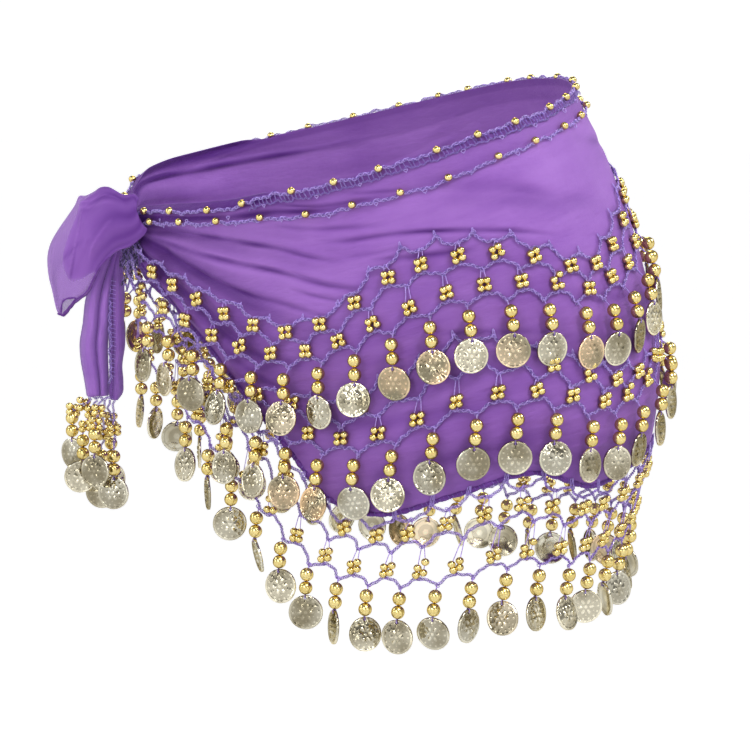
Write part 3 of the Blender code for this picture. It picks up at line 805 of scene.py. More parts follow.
def knot_neck(pile):
    """Gathered cloth that leads from the knot into the flap."""
    share = np.linspace(0, 1, NECK_RINGS)[:, None]
    aside, front, height, half_aside, half_height = curves_along(NECK, share)
    turn = turns(NECK_AROUND)[None]
    gather = np.cos(9 * turn + 1.5 * share)
    swell = 1 + 0.10 * gather + 0.04 * np.cos(16 * turn - share)
    aside = aside + half_aside * np.cos(turn) * swell
    height = height + half_height * np.sin(turn) * swell
    faces = sleeve_faces(NECK_RINGS, NECK_AROUND)[..., ::-1]
    # Painted shade between the gathers, and paler where they swell out.
    pile.put(at_knot(aside, front, height), [faces], np.clip(0.35 - 0.5 * gather, 0, 1))


# The flap as sewn cloth lies, outlined more finely than its solid.
FLAP = table(
    "| top_aside top_height low_aside low_height front half_puff",
    (-3, -28, -7.5, -45.5, 30, 2.2),
    (0.5, -25, -6, -49, 28.8, 3.2),
    (7, -25.5, -1, -53.5, 26.2, 4.8),
    (15, -21.5, 4, -57, 23.8, 6.6),
    (20.5, -21.5, 11, -59.5, 21.6, 8.2),
    (24.5, -24, 16.5, -64, 19.8, 9.4),
    (29.5, -26.5, 20.5, -68.5, 18.3, 10.2),
    (33.8, -27, 22.5, -72, 16.8, 10.6),
    (36.5, -32.5, 24.5, -76, 15.6, 11),
    (41, -39, 26.5, -80, 14.3, 11.2),
    (47, -47.5, 28.5, -84, 12.8, 10.8),
    (51.5, -55.5, 32.5, -87.5, 11.2, 10),
    (53.5, -64, 36, -90, 9.8, 8.8),
    (53, -74.5, 39, -93, 8.4, 7),
    (51, -84, 41, -95.5, 7, 5),
    (49, -94, 43, -98, 5.8, 3),
    (47.5, -98, 44.5, -99, 5, 2),
)
FLAP_RINGS = 120
FLAP_AROUND = 88
FLAP_CUT = 0.09
FLAP_NOTCH = 0.0035  # how far the flap's root is nipped in between its two corners
# Soft troughs along the flap from start to end, at a turn round it that drifts, with painted shade in them.
# With a sink below 0 it is a ridge, and a narrow ridge is a sharp crease, which catches the light and has a
# painted highlight.
FLAP_DENTS = table(
    "start end turn drift width | sink",
    (-0.10, 0.52, 0.09, 0.06, 0.026, 0.6),
    (-0.20, 0.40, 0.21, 0.05, 0.034, 0.9),
    (-0.10, 0.66, 0.33, 0.06, 0.030, 0.7),
    (0.10, 0.78, 0.42, 0.02, 0.020, 0.9),
    (0.36, 0.72, 0.100, 0.20, 0.0060, -1.3),
    (0.14, 0.46, 0.130, -0.05, 0.0070, -0.7),
    (0.48, 0.86, 0.245, -0.09, 0.0090, 0.8),
    (0.22, 0.50, 0.255, 0.07, 0.0080, -0.8),
    (0.18, 0.54, 0.17, -0.07, 0.010, -0.5),
    (0.34, 0.80, 0.29, -0.06, 0.045, -1),
    (0.56, 0.72, 0.22, 0.10, 0.010, 0.5),
    (0.66, 0.98, 0.17, 0.03, 0.030, 0.6),
    (-0.10, 0.50, 0.62, -0.05, 0.026, 1),
    (0.05, 0.80, 0.70, 0.06, 0.030, 1.2),
    (-0.10, 0.60, 0.82, -0.04, 0.026, 1),
    (0.40, 0.95, 0.60, 0.03, 0.022, 0.9),
)
NARROW_RIDGE = 0.012
LAYER_EDGE = 0.012
# How far along the flap its inner cloth reaches, by the turn round it.
INNER_CLOTH = (
    (0.000, 0.18), (0.050, 0.33), (0.100, 0.44), (0.150, 0.57), (0.195, 0.650),
    (0.250, 0.680), (0.312, 0.672), (0.350, 0.60), (0.392, 0.51), (0.500, 0.46),
)
WINDOW_START = 0.735  # the front layer parts in a slit from here down to its end
WINDOW_END = 0.985
WINDOW_TURN = 0.425
WINDOW_DRIFT = 0.130
WINDOW_HALF = 0.062
# Rolled edges on the flap, as (along, around) places.
FLAP_LIPS = (
    ((0.30, 0.470), (0.45, 0.455), (0.60, 0.450), (0.75, 0.445), (0.90, 0.440), (1.00, 0.42)),
    ((0.40, 0.505), (0.55, 0.500), (0.70, 0.500), (0.85, 0.500), (0.94, 0.500), (1.00, 0.50)),
)
LIP_RADIUS = 0.00055
LIP_PROUD = 0.0002
LIP_POINTS = 60
SLIT_POINTS = 40


def dented(along, around):
    """How far in the flap's dents press its surface, and how much painted shade lies in them, below 0 for a
    painted highlight on a narrow ridge.
    """
    pressed = np.zeros(np.broadcast(along, around).shape)
    fold_shade, ridge_highlight = np.zeros_like(pressed), np.zeros_like(pressed)
    for dent in FLAP_DENTS:
        share = np.clip((along - dent.start) / (dent.end - dent.start), 0, 1)
        off = (around - dent.turn - dent.drift * share + 0.5) % 1.0 - 0.5
        trough = bell(off, 0, dent.width) * hump(share) ** 0.6
        pressed += dent.sink * trough
        if dent.sink > 0:
            fold_shade = np.maximum(fold_shade, trough * 0.6)
        elif dent.width < NARROW_RIDGE:
            ridge_highlight = np.maximum(ridge_highlight, trough)
    return pressed, fold_shade - ridge_highlight * 0.7


def flap_place(along, around):
    """(points on the flap, how much painted shade it has) by the shares along it and around it, from its
    upper edge.
    """
    top_aside, top_height, low_aside, low_height, front, half_puff = curves_along(FLAP, along)
    upper, lower = at_knot(top_aside, front, top_height), at_knot(low_aside, front, low_height)
    pressed, fold_shade = dented(along, around)
    turn = 2 * np.pi * around
    side = np.sin(turn)
    thick = half_puff * side * (0.86 + 0.14 * np.cos(3 * turn + 5 * along)) - pressed * np.sign(side)
    nip = FLAP_NOTCH * np.abs(side) ** 1.5 * ease(along, 0.12, 0)
    points = (upper + lower) / 2 + (upper - lower) / 2 * np.cos(turn)[..., None]
    return points + ONWARD * thick[..., None] + AWAY * nip[..., None], fold_shade


def window(along):
    """(the turn round the flap at which its front layer parts, how far it parts to either side)."""
    share = np.clip((along - WINDOW_START) / (WINDOW_END - WINDOW_START), 0, 1)
    return WINDOW_TURN - WINDOW_DRIFT * share, WINDOW_HALF * hump(share) ** 0.8 * (0.8 + 0.4 * share)


def tie_flap(cloth):
    """The puffed loose end: a sleeve of cloth, shut where it leaves the knot and open at its tip."""
    along = np.linspace(0, 1, FLAP_RINGS)[:, None]
    around = (np.arange(FLAP_AROUND) / FLAP_AROUND)[None]
    points, fold_shade = flap_place(along, around)
    middle, half = window(along[:-1])
    kept = np.abs(around - middle) >= half
    reach = smooth(*np.transpose(INNER_CLOTH), np.minimum(around, 1 - around))
    layers_and_shade = ease(reach - along, -LAYER_EDGE, LAYER_EDGE)
    # Painted shade in the dents and a painted highlight on narrow ridges, darker where inner cloth lies
    # under the front layer, and darker towards the root.
    tints = np.clip(0.6 * fold_shade + 0.20 * layers_and_shade + 0.50 * ease(along, 0.6, 0), 0, 1)
    pile = Pile()
    pile.put(points, [sleeve_faces(FLAP_RINGS, FLAP_AROUND)[kept]], tints, layers_and_shade)
    made = pile.piece("tie_flap_cloth", cloth, "tie_flap", "tie_flap")
    cut_map(made, along * FLAP_CUT, around * FLAP_CUT)
    thicken(made, CLOTH * 0.6)
    return made


def flap_edges(cloth):
    """The flap's rolled edges: round the slit at its tip, along its lower side and round its end."""
    share = WINDOW_START + (WINDOW_END - WINDOW_START) * (1 - np.cos(np.linspace(0, np.pi, SLIT_POINTS))) / 2
    middle, half = window(share)
    edges = [(share, middle - half), (share, middle + half)]
    for places in FLAP_LIPS:
        along = np.linspace(places[0][0], places[-1][0], LIP_POINTS)
        edges.append((along, smooth(*np.transpose(places), along)))
    edges.append((np.full(LIP_POINTS, 0.995), np.linspace(0, 1, LIP_POINTS)))
    pile = Pile()
    for along, around in edges:
        points, _ = flap_place(along, around)
        swell = LIP_RADIUS * (1 + 0.25 * np.sin(np.arange(len(along)) * 0.8))
        tubes(pile, points[None] + ONWARD * LIP_PROUD, ONWARD, swell[None], 6, 0.75)
    cut_map(pile.piece("tie_flap_edges", cloth, "tie_flap"))


# Two stretches of the tail, as flattened sleeves: how deep their folds are and where their edges lie.
WIDE_LOBE = table(
    "fold | height near_aside far_aside half",
    (0.20, -54.5, 9.5, 18.5, 2.2),
    (0.35, -64, 12, 21.5, 2.6),
    (0.55, -72, 14, 25, 2.8),
    (0.80, -80, 15.5, 28.8, 2.8),
    (1.00, -90, 16.8, 31.8, 2.6),
    (1.10, -104, 17.8, 33.5, 2.4),
    (1.10, -116, 18.8, 35.4, 2.4),
    (1.00, -126, 18.8, 34.9, 2.2),
    (0.95, -137, 18.5, 33, 1.8),
    (0.90, -147.5, 18.8, 31.4, 1),
)
NARROW_LOBE = table(
    "fold | height near_aside far_aside half",
    (0.30, -54.5, 6, 12.5, 2),
    (0.50, -64, 9.4, 16, 2.4),
    (0.75, -73, 9.5, 17.2, 2.4),
    (0.90, -82, 8.9, 18, 2.2),
    (1.00, -104, 9.2, 18, 2),
    (1.00, -116, 8.6, 18, 2),
    (0.90, -130, 10.4, 17.6, 2),
    (0.80, -140, 9.8, 18, 2),
    (0.60, -146.5, 10.4, 18.2, 1.8),
    (0.40, -150, 13, 16.5, 1),
)
# How far forward the folds stand, across a lobe from its near edge.
WIDE_FOLDS = table(
    "across | front",
    (0, -3), (0.10, 0.4), (0.20, 2.6), (0.30, 1.2), (0.38, -1.6),
    (0.47, 0.6), (0.60, 3.6), (0.76, 4.2), (0.90, 1.6), (1, -2),
)
NARROW_FOLDS = table(
    "across | front",
    (0, -4), (0.18, -0.8), (0.40, 1), (0.58, -0.4), (0.72, -2.2), (0.86, -1.2), (1, -3),
)
FOLD_DEPTH = 1.10
FOLD_DARK = 0.0044  # how much further forward a fold is per whole step paler
TAIL_EDGE = (-0.076, -0.140)  # heights that the edging on the tail runs between
TAIL_EDGE_ACROSS = 0.90
TAIL_CHAIN_PROUD = 0.0010
TAIL_STITCHES = (-0.078, -0.137, -0.0026)  # the heights where its stitches start, and the step between them
TAIL_STITCH_DROP = 0.0006
TAIL_STITCH_ACROSS = 0.42  # how far its stitches reach over the lobe, as a share
TAIL_STITCH_PROUD = 0.0004
TAIL_STITCH_BOW = 0.0005
LOBE_RINGS = 64
LOBE_AROUND = 64
LOBE_CUT = 0.006


def lobe_place(lobe, folds, height, across, facing):
    """Points on a lobe, by height, the share across it, and from -1 at its back to 1 at its front."""
    fold, heights, near, far, half = np.transpose(lobe)
    near, far, fold, half = (smooth(-heights, values, -height) for values in (near, far, fold, half))
    down = (height - heights[0]) / (heights[-1] - heights[0])
    shifted = np.clip(across + 0.05 * np.sin(5.0 * down + 6 * across) * hump(across), 0, 1)
    wave = smooth(*np.transpose(folds), shifted)
    crimp = 0.00035 * np.sin(across * 41 + 4 * down) * hump(across)
    front = TAIL_FRONT + FOLD_DEPTH * fold * (wave + crimp) + half * facing
    return at_knot(near + across * (far - near), front, height), wave


def tail_lobe(name, cloth, lobe, folds, *replaced):
    down = np.linspace(0, 1, LOBE_RINGS)[:, None]
    height = lobe[0].height + (lobe[-1].height - lobe[0].height) * down
    turn = turns(LOBE_AROUND)[None]
    points, wave = lobe_place(lobe, folds, height, (1 - np.cos(turn)) / 2, np.sin(turn))
    # Painted light and shade on the folds, paler where they stand forward, and a painted shadow under the
    # flap towards the top.
    fold_shade = np.clip(0.46 - wave / FOLD_DARK, 0, 0.9) + 0.50 * ease(down, 0.45, 0.05)
    pile = Pile()
    pile.put(points, [sleeve_faces(LOBE_RINGS, LOBE_AROUND)], np.minimum(fold_shade, 1), 0.5)
    made = pile.piece(name, cloth, "tie_tail", *replaced)
    cut_map(made, turn * LOBE_CUT, height)
    thicken(made, CLOTH * 0.6)
    return made


def tail_edging(crochet):
    """The scarf's edging, which runs on down the narrow lobe: a chain, and stitches over the edge."""
    pile = Pile()
    height = np.linspace(*TAIL_EDGE, 120)
    chain, _ = lobe_place(NARROW_LOBE, NARROW_FOLDS, height, TAIL_EDGE_ACROSS, 1.0)
    braid(pile, chain + ONWARD * TAIL_CHAIN_PROUD, ONWARD, 0.9)
    share = np.linspace(0, 1, 7)[None]
    height = np.arange(*TAIL_STITCHES)[:, None] - TAIL_STITCH_DROP * share
    across = TAIL_EDGE_ACROSS - TAIL_STITCH_ACROSS * share
    stitch, _ = lobe_place(NARROW_LOBE, NARROW_FOLDS, height, across, 1.0)
    lift = (TAIL_STITCH_PROUD + TAIL_STITCH_BOW * hump(share))[..., None]
    tubes(pile, stitch + ONWARD * lift, ONWARD, STRAND_RADIUS * 0.8, 3, 0.4)
    pile.piece("tail_edging", crochet, "edge_chain")


# ---- crochet

JITTER_RUN = 0.0012  # how far a chain's nodes stray from even spacing
JITTER_DEPTH = 0.0009
HEM_DROP = 0.0024  # row 3 hangs from the hem by its tacks
ARCH = 2.0  # how round a chain is between the sharp points where it is pulled
ARCH_POINTS = 24
TACK_RISE = 0.0034
TACK_HALF = 0.0006
TACK_LEAN = 0.0008
TACK_PRESS = 0.0009  # how far a tack's loop sinks into the cloth
TACK_WIDER = 0.0005  # a second tack at the same place is wider, and leans further over
TACK_FURTHER = 0.0012
TANGLES = 2  # at each node of a chain
TANGLE_SIZE = 0.00105
TANGLE_ASIDE = 0.0005  # how far tangles stray from their node
TANGLE_UP = 0.0003
CLUSTER_HALF = 0.00200  # from a cluster's middle to its beads' centres
CLUSTER_SEAT = 0.0050  # from the lower chain's middle line up to the cluster's middle
CLUSTER_TILT = 0.13
BEAD_SLIDE = 0.0022  # how far up its thread an upper bead has slid, now and then
BEAD_STAYS = 0.93  # the share of them that haven't
CLUSTER_PROUD = 0.0007
CLUSTER_SLIP = 0.00025  # how far its beads stray along their thread, and across it
CLUSTER_STRAY = 0.0002
CLUSTER_TOP = 0.0008  # from the cluster's middle line to its threads, at the chain above and the one below
CLUSTER_FOOT = 0.0005
THREAD_LIFT = np.array([0.0, 0.0006, 0.0006, 0.0])  # down a cluster's thread, which its beads hold out


class Row:
    """Where the chains of one net row run, all the way round, and where their crests and low points are."""

    def __init__(self, spec):
        self.spec = spec
        self.hangs = spec.number == 3
        start, middle, end = run_at(spec.start), run_at(180.0), run_at(360 - spec.start)
        front, back = np.linspace(start, middle, spec.cells + 1), np.linspace(middle, end, spec.cells + 1)
        posts = np.concatenate([front, back[1:]])
        self.runs = np.empty(2 * len(posts) - 1)
        self.runs[0::2] = posts
        self.runs[1::2] = (posts[:-1] + posts[1:]) / 2
        self.middle = 2 * spec.cells
        self.last = len(self.runs) - 1
        self.nodes = {chain: self.chain_nodes(chain) for chain in "ABC"}

    def depth(self, chain, run):
        """The mean depth of a chain's middle line."""
        angle = angle_at(run)
        depth_a = line("hem" if self.hangs else f"net_{self.spec.number}", angle)
        depth_c = line(f"drops_{self.spec.number}", angle) - CHAIN_WIDTH - SCALLOP / 2
        share = {"A": 0.0, "B": CHAIN_B_SHARE, "C": 1.0}[chain]
        below_hem = HEM_DROP if self.hangs and chain == "A" else 0.0
        return depth_a + share * (depth_c - depth_a) + CHAIN_WIDTH / 2 + below_hem

    def chain_nodes(self, chain):
        """(run, depth, side) of each node in turn, whose side is -1 at a crest and 1 at a low point."""
        runs = self.runs
        first = -1 if chain in "AC" else 1
        sides = np.where(np.arange(len(runs)) % 2 == 0, first, -first)
        taut = 0.6 * ease(from_knot(angle_at(runs)), 90, 55) if chain == "A" else 0.0
        depths = self.depth(chain, runs) + sides * (1 - taut) * SCALLOP / 2
        free = np.full(len(runs), 0.4 if chain == "C" else 1.0)
        free[[0, self.middle, -1]] = 0
        runs = runs + free * JITTER_RUN * RANDOM.uniform(-1, 1, len(runs))
        depths = depths + free * JITTER_DEPTH * RANDOM.uniform(-1, 1, len(runs))
        return runs, depths, sides

    def chain_line(self, chain, first, last):
        """(run, depth) along a chain from one node to another, arched between sharp low points.

        Chain A is the other way up: it swags between the tacks that hold its crests.
        """
        runs, depths, sides = (values[first:last + 1, None] for values in self.nodes[chain])
        share = np.linspace(0, 1, ARCH_POINTS)[None]
        rounded_first = (sides[:-1] < 0) != (chain == "A")
        arch = np.where(rounded_first, share**ARCH, 1 - (1 - share) ** ARCH)
        runs = runs[:-1] + share * np.diff(runs, axis=0)
        depths = depths[:-1] + arch * np.diff(depths, axis=0)
        return runs.ravel(), depths.ravel()

    def proud(self, run):
        """How far the row's middle layer stands off the cloth."""
        return CHAIN_THICK / 2 + self.spec.layer * crowd(angle_at(run))

    def draw_chain(self, pile, chain, first, last):
        runs, depths = self.chain_line(chain, first, last)
        apart = np.concatenate([[True], np.diff(runs) > 1e-7])
        runs, depths = runs[apart], depths[apart]
        braid(pile, on_scarf(runs, depths, self.proud(runs)), outs_at(runs))
        runs, depths, _ = (values[first:last + 1] for values in self.nodes[chain])
        tangles(pile, runs, depths, self.proud(runs))


def tangles(pile, runs, depths, prouds):
    """Small loops where a chain is crocheted to its neighbours, each turned its own way."""
    count = TANGLES * len(runs)
    middle = on_scarf(runs, depths, prouds).repeat(TANGLES, 0)
    outs = outs_at(runs).repeat(TANGLES, 0)
    side = unit(np.cross(outs, unit(RANDOM.normal(0, 1, (count, 3)) * 0.5 + UP)))
    upward = unit(np.cross(side, outs) + outs * RANDOM.uniform(-0.6, 0.6, (count, 1)))
    middle = middle + side * RANDOM.normal(0, TANGLE_ASIDE, (count, 1))
    middle = middle + upward * RANDOM.normal(0, TANGLE_UP, (count, 1))
    turn = np.linspace(0, 2 * np.pi, 9)[:, None]
    size = TANGLE_SIZE * RANDOM.uniform(0.7, 1.3, (count, 1, 1))
    loops = side[:, None] * np.cos(turn) + 0.75 * upward[:, None] * np.sin(turn)
    tubes(pile, middle[:, None] + loops * size, outs[:, None], STRAND_RADIUS * 0.85, 3, RANDOM.random(count))


def tacks(pile, row, first, last):
    """A looped stitch at each crest of chain A, which sews it to the cloth above."""
    runs, depths, _ = row.nodes["A"]
    chosen = np.arange(first + first % 2, last + 1, 2)[:, None]
    run, depth = runs[chosen], depths[chosen]
    turn = np.linspace(0, np.pi, 8)[None]
    lean = RANDOM.uniform(-TACK_LEAN, TACK_LEAN, run.shape)
    rise = TACK_RISE * RANDOM.uniform(0.6, 1.15, run.shape) + HEM_DROP * row.hangs
    proud = row.proud(run) - TACK_PRESS * np.sin(turn)
    for k in range(1 + row.hangs):
        half, top_lean = TACK_HALF + TACK_WIDER * k, lean - TACK_FURTHER * k
        path_run = run + half * np.cos(turn) + top_lean * np.sin(turn)
        scarf_threads(pile, path_run, depth - rise * np.sin(turn), proud, STRAND_RADIUS * 0.85, 4, 0.6)


def clusters(threads, small, row, chains, chosen):
    """Between two chains: two threads that each carry two small beads, just above the lower chain."""
    places = [values[chosen][:, None, None] for chain in chains for values in row.nodes[chain][:2]]
    high_run, high, run, low = places
    seat = np.maximum(low - CLUSTER_SEAT, (high + low) / 2)
    count = len(run)
    aside, down = np.array([[-1.0], [1.0]]), np.array([-1.0, 1.0])
    spread = CLUSTER_HALF * RANDOM.uniform(0.97, 1.05, (count, 1, 1))
    tilt = RANDOM.normal(0, CLUSTER_TILT, (count, 1, 1))
    slip = RANDOM.normal(0, CLUSTER_SLIP, (count, 2, 1))
    slid = BEAD_SLIDE * (RANDOM.random((count, 2, 1)) > BEAD_STAYS) * (down < 0)
    side = aside * spread + RANDOM.normal(0, CLUSTER_STRAY, (count, 1, 2)) * aside
    fall = down * CLUSTER_HALF + slip - slid
    bead_run = run + side * np.cos(tilt) - fall * np.sin(tilt)
    bead_depth = seat + fall * np.cos(tilt) + side * np.sin(tilt)
    beads(small, on_scarf(bead_run, bead_depth, row.proud(bead_run) + CLUSTER_PROUD), CLUSTER_BEAD)
    path_run = [high_run + aside * CLUSTER_TOP, bead_run, run + aside * CLUSTER_FOOT]
    path_depth = [high + 0 * aside, bead_depth, low + 0 * aside]
    path_run, path_depth = (np.concatenate(parts, -1).reshape(-1, 4) for parts in (path_run, path_depth))
    proud = row.proud(path_run) + THREAD_LIFT
    scarf_threads(threads, path_run, path_depth, proud, THREAD_RADIUS, 4, 0.8)


def net(row, side, crochet, gold):
    """One half of a row's net: chains A and B, the tacks, and the bead clusters between the chains."""
    first, last = (0, row.middle) if side == "front" else (row.middle, row.last)
    threads, small = Pile(), Pile()
    row.draw_chain(threads, "A", first, last)
    row.draw_chain(threads, "B", first, last)
    tacks(threads, row, first, last)
    clusters(threads, small, row, "AB", np.arange(first + 1, last, 2))
    clusters(threads, small, row, "BC", np.arange(first if side == "front" else first + 2, last + 1, 2))
    node_name = f"net_{row.spec.number}_{side}"
    threads.piece(f"{node_name}_crochet", crochet, node_name, node_name)
    small.piece(f"{node_name}_beads", gold, f"fringe_{row.spec.number}")


# ---- drops

BEAD_BELOW = (0.0047, 0.0125)  # the two large beads' centres below a drop's root
COIN_TOP = 0.0168  # below a drop's root
COIN_RADIUS = 0.0099
COIN_HOLE_IN = 0.0017  # from the coin's edge to its hole's centre
COIN_HOLE = 0.085  # the hole's radius and its height over the middle, for a coin drawn with a radius of 1
COIN_HOLE_Y = 1 - COIN_HOLE_IN / COIN_RADIUS
COIN_EDGE = 30
COIN_HOLE_SIDES = 8
COIN_HALF_THICK = 0.00022
COIN_RELIEF = 0.00075
COIN_BACK_RELIEF = COIN_RELIEF * 0.6
COIN_DOME = 0.0010
RING_OUT = 0.0011  # the half sizes of the loop that holds a coin, and its middle over the hole
RING_TALL = 0.0014
RING_RISE = 0.0008
COIN_TILTS = (7.0, 5.0)  # how many degrees coins are pitched and rolled by, as a spread
RIM_DOTS = 14
PETALS = 6


def circle(radius, count, height, middle=(0.0, 0.0), turned=0.0, stretch=1.0, lean=0.0):
    """(x, y, height of the relief from 0 to 1) of places in a ring, which may be stretched and lean."""
    places = []
    for k in range(count):
        turn = 2 * math.pi * k / count + turned
        long, short = radius * stretch * math.cos(turn), radius * math.sin(turn)
        x = middle[0] + long * math.cos(lean) - short * math.sin(lean)
        y = middle[1] + long * math.sin(lean) + short * math.cos(lean)
        places.append((x, y, height))
    return places


def coin_front():
    """A generic struck design: a raised rim, a ring of dots in it and a petalled rosette in the middle."""
    places = circle(0.95, 30, 1.0) + circle(0.88, 30, 0.15)
    for k in range(RIM_DOTS):
        turn = 2 * math.pi * (k + 0.5) / RIM_DOTS + math.pi / 2
        dot = (0.75 * math.cos(turn), 0.75 * math.sin(turn))
        places += circle(0.085, 5, 0.1, dot, turn) + circle(0.0, 1, 1.0, dot)
    places += circle(0.60, 14, 0.10)
    for k in range(PETALS):
        turn = 2 * math.pi * k / PETALS
        petal = (0.34 * math.cos(turn), 0.34 * math.sin(turn))
        places += circle(0.10, 6, 0.10, petal, 0.0, 1.7, turn) + circle(0.045, 3, 1.0, petal, 0.0, 1.8, turn)
        between = turn + math.pi / PETALS
        dot = (0.52 * math.cos(between), 0.52 * math.sin(between))
        places += circle(0.0, 1, 0.85, dot) + circle(0.05, 4, 0.1, dot)
    return places + circle(0.13, 6, 0.10) + circle(0.0, 1, 1.0)


def coin_back():
    """The plainer back: a raised rim, two faint rings and a boss."""
    places = circle(0.93, 24, 1.0) + circle(0.84, 24, 0.1) + circle(0.62, 12, 0.8)
    return places + circle(0.52, 12, 0.2) + circle(0.24, 6, 0.2) + circle(0.0, 1, 0.9)


def loop(first, count):
    """Pairs of neighbours round a closed loop of points."""
    return [(first + k, first + (k + 1) % count) for k in range(count)]


OUTER = loop(0, COIN_EDGE)
INNER = loop(COIN_EDGE, COIN_HOLE_SIDES)


def from_hole(x, y):
    """How far a place on a coin is from its hole's middle, in the hole's radii."""
    return math.hypot(x, y - COIN_HOLE_Y) / COIN_HOLE


def coin_side(relief):
    """(plan, relief, triangles) of one side, whose first points are the coin's edge and the hole's."""
    places = [(math.cos(a), math.sin(a), 0.55) for a in turns(COIN_EDGE)]
    for a in turns(COIN_HOLE_SIDES):
        places.append((COIN_HOLE * math.cos(a), COIN_HOLE_Y + COIN_HOLE * math.sin(a), 0.2))
    places += [place for place in relief if from_hole(*place[:2]) > 1.5]
    flat = [Vector(place[:2]) for place in places]
    corners, _, triangles, *_ = geometry.delaunay_2d_cdt(flat, OUTER + INNER, [], 1, 1e-6)
    plan = np.array([tuple(corner) for corner in corners])
    triangles = np.array([t for t in triangles if from_hole(*plan[list(t)].mean(0)) >= 0.9])
    return plan, np.array([place[2] for place in places]), triangles


def coin_shape():
    """(points, triangles, walls, hollows) of a coin, hanging down from its hole at the origin."""
    front, back = coin_side(coin_front()), coin_side(coin_back())
    sides = []
    for (plan, relief, _), raised, sign in ((front, COIN_RELIEF, 1), (back, -COIN_BACK_RELIEF, -1)):
        out = relief * raised + COIN_DOME * (1 - (plan**2).sum(1)) + sign * COIN_HALF_THICK
        sides.append(np.stack([plan[:, 0], -out / COIN_RADIUS, plan[:, 1] - COIN_HOLE_Y], -1) * COIN_RADIUS)
    count = len(front[0])
    walls = [(b, a, a + count, b + count) for a, b in OUTER + [pair[::-1] for pair in INNER]]
    faces = np.concatenate([front[2], back[2][:, ::-1] + count])
    hollows = 1 - np.concatenate([front[1], back[1]])
    return np.concatenate(sides), faces, np.array(walls), hollows


COIN = coin_shape()


def coins(pile, holes, across, facing):
    """A coin hung from each hole, with across and facing its own axes before it tilts."""
    points, faces, walls, hollows = COIN
    tilts = np.radians(RANDOM.normal(0, COIN_TILTS, (len(holes), 2)))
    tints = RANDOM.random(len(holes))
    for i, (pitch, roll) in enumerate(tilts):
        side = across[i] * math.cos(roll) + UP * math.sin(roll)
        upward = UP * math.cos(roll) - across[i] * math.sin(roll)
        face = facing[i] * math.cos(pitch) + upward * math.sin(pitch)
        upward = upward * math.cos(pitch) - facing[i] * math.sin(pitch)
        placed = holes[i] + points[:, :1] * side - points[:, 1:2] * face + points[:, 2:] * upward
        pile.put(placed, [faces, walls], tints[i], hollows)


class Drops:
    """The piles of a set of drops, each of which is a thread, two large beads and a coin."""

    def __init__(self):
        self.threads, self.large, self.coins = Pile(), Pile(), Pile()

    def hang(self, roots, centres, holes, out, across, yaw):
        """Drops in a line from each root, turned by a yaw from facing out."""
        sin, cos = np.sin(yaw)[:, None], np.cos(yaw)[:, None]
        facing, turned = (out * cos - across * sin)[:, None], (across * cos + out * sin)[:, None]
        beads(self.large, centres, DROP_BEAD)
        path = [roots, (roots + centres[:, 0]) / 2, centres[:, 0], centres[:, 1], holes]
        tubes(self.threads, np.stack(path, 1), turned, THREAD_RADIUS * 1.5, 4, 0.5)
        turn = np.linspace(0, 2 * np.pi, 9)[:, None]
        rise = RING_RISE + RING_TALL * np.cos(turn)
        ring = holes[:, None] + facing * (RING_OUT * np.sin(turn)) + UP * rise
        tubes(self.threads, ring, turned, THREAD_RADIUS * 1.1, 4, 0.3)
        coins(self.coins, holes, turned[:, 0], facing[:, 0])

    def pieces(self, name, thread_slot, crochet, gold, brass, small=None):
        self.threads.piece(f"{name}_crochet", crochet, thread_slot, name)
        if small:
            small.piece(f"{name}_small_beads", gold, name, name)
        self.large.piece(f"{name}_beads", gold, name, name)
        self.coins.piece(f"{name}_coins", brass, name, name)


def fringe(row, crochet, gold, brass):
    """Chain C of a row, and the drops that hang from its low points."""
    spec, drops = row.spec, Drops()
    row.draw_chain(drops.threads, "C", 0, row.last)
    run, depth = (values[1::2] for values in row.nodes["C"][:2])
    angle, out = angle_at(run), outs_at(run)
    across = np.stack([-out[:, 1], out[:, 0], np.zeros(len(out))], -1)
    bead_out = spec.bead_out + spec.bead_crowd * crowd(angle)
    coin_out = spec.bead_out + spec.coin_crowd * crowd(angle)
    low = depth + CHAIN_WIDTH / 2
    centres = np.stack([on_scarf(run, low + below, bead_out) for below in BEAD_BELOW], 1)
    holes = on_scarf(run, low + COIN_TOP + COIN_HOLE_IN, coin_out)
    yaw = np.radians(spec.yaw) * np.sin(np.arange(len(run)) * YAW_TURN)
    drops.hang(on_scarf(run, depth, row.proud(run)), centres, holes, out, across, yaw)
    drops.pieces(f"fringe_{spec.number}", f"net_{spec.number}_front", crochet, gold, brass)


def swayed(start, end, sway, turn, count=24):
    """Points from one place to another, swaying away from the wearer and back through a turn."""
    share = np.linspace(0, 1, count)[:, None]
    return start + (end - start) * share + AWAY * sway * np.sin(turn * share)


# A tail thread's clusters of beads, as (which thread, share down it).
TASSEL_CLUSTERS = (
    (4, 0.36), (5, 0.42), (3, 0.40), (4, 0.80), (5, 0.95), (3, 0.88), (1, 0.55), (0, 0.62), (2, 0.70),
)


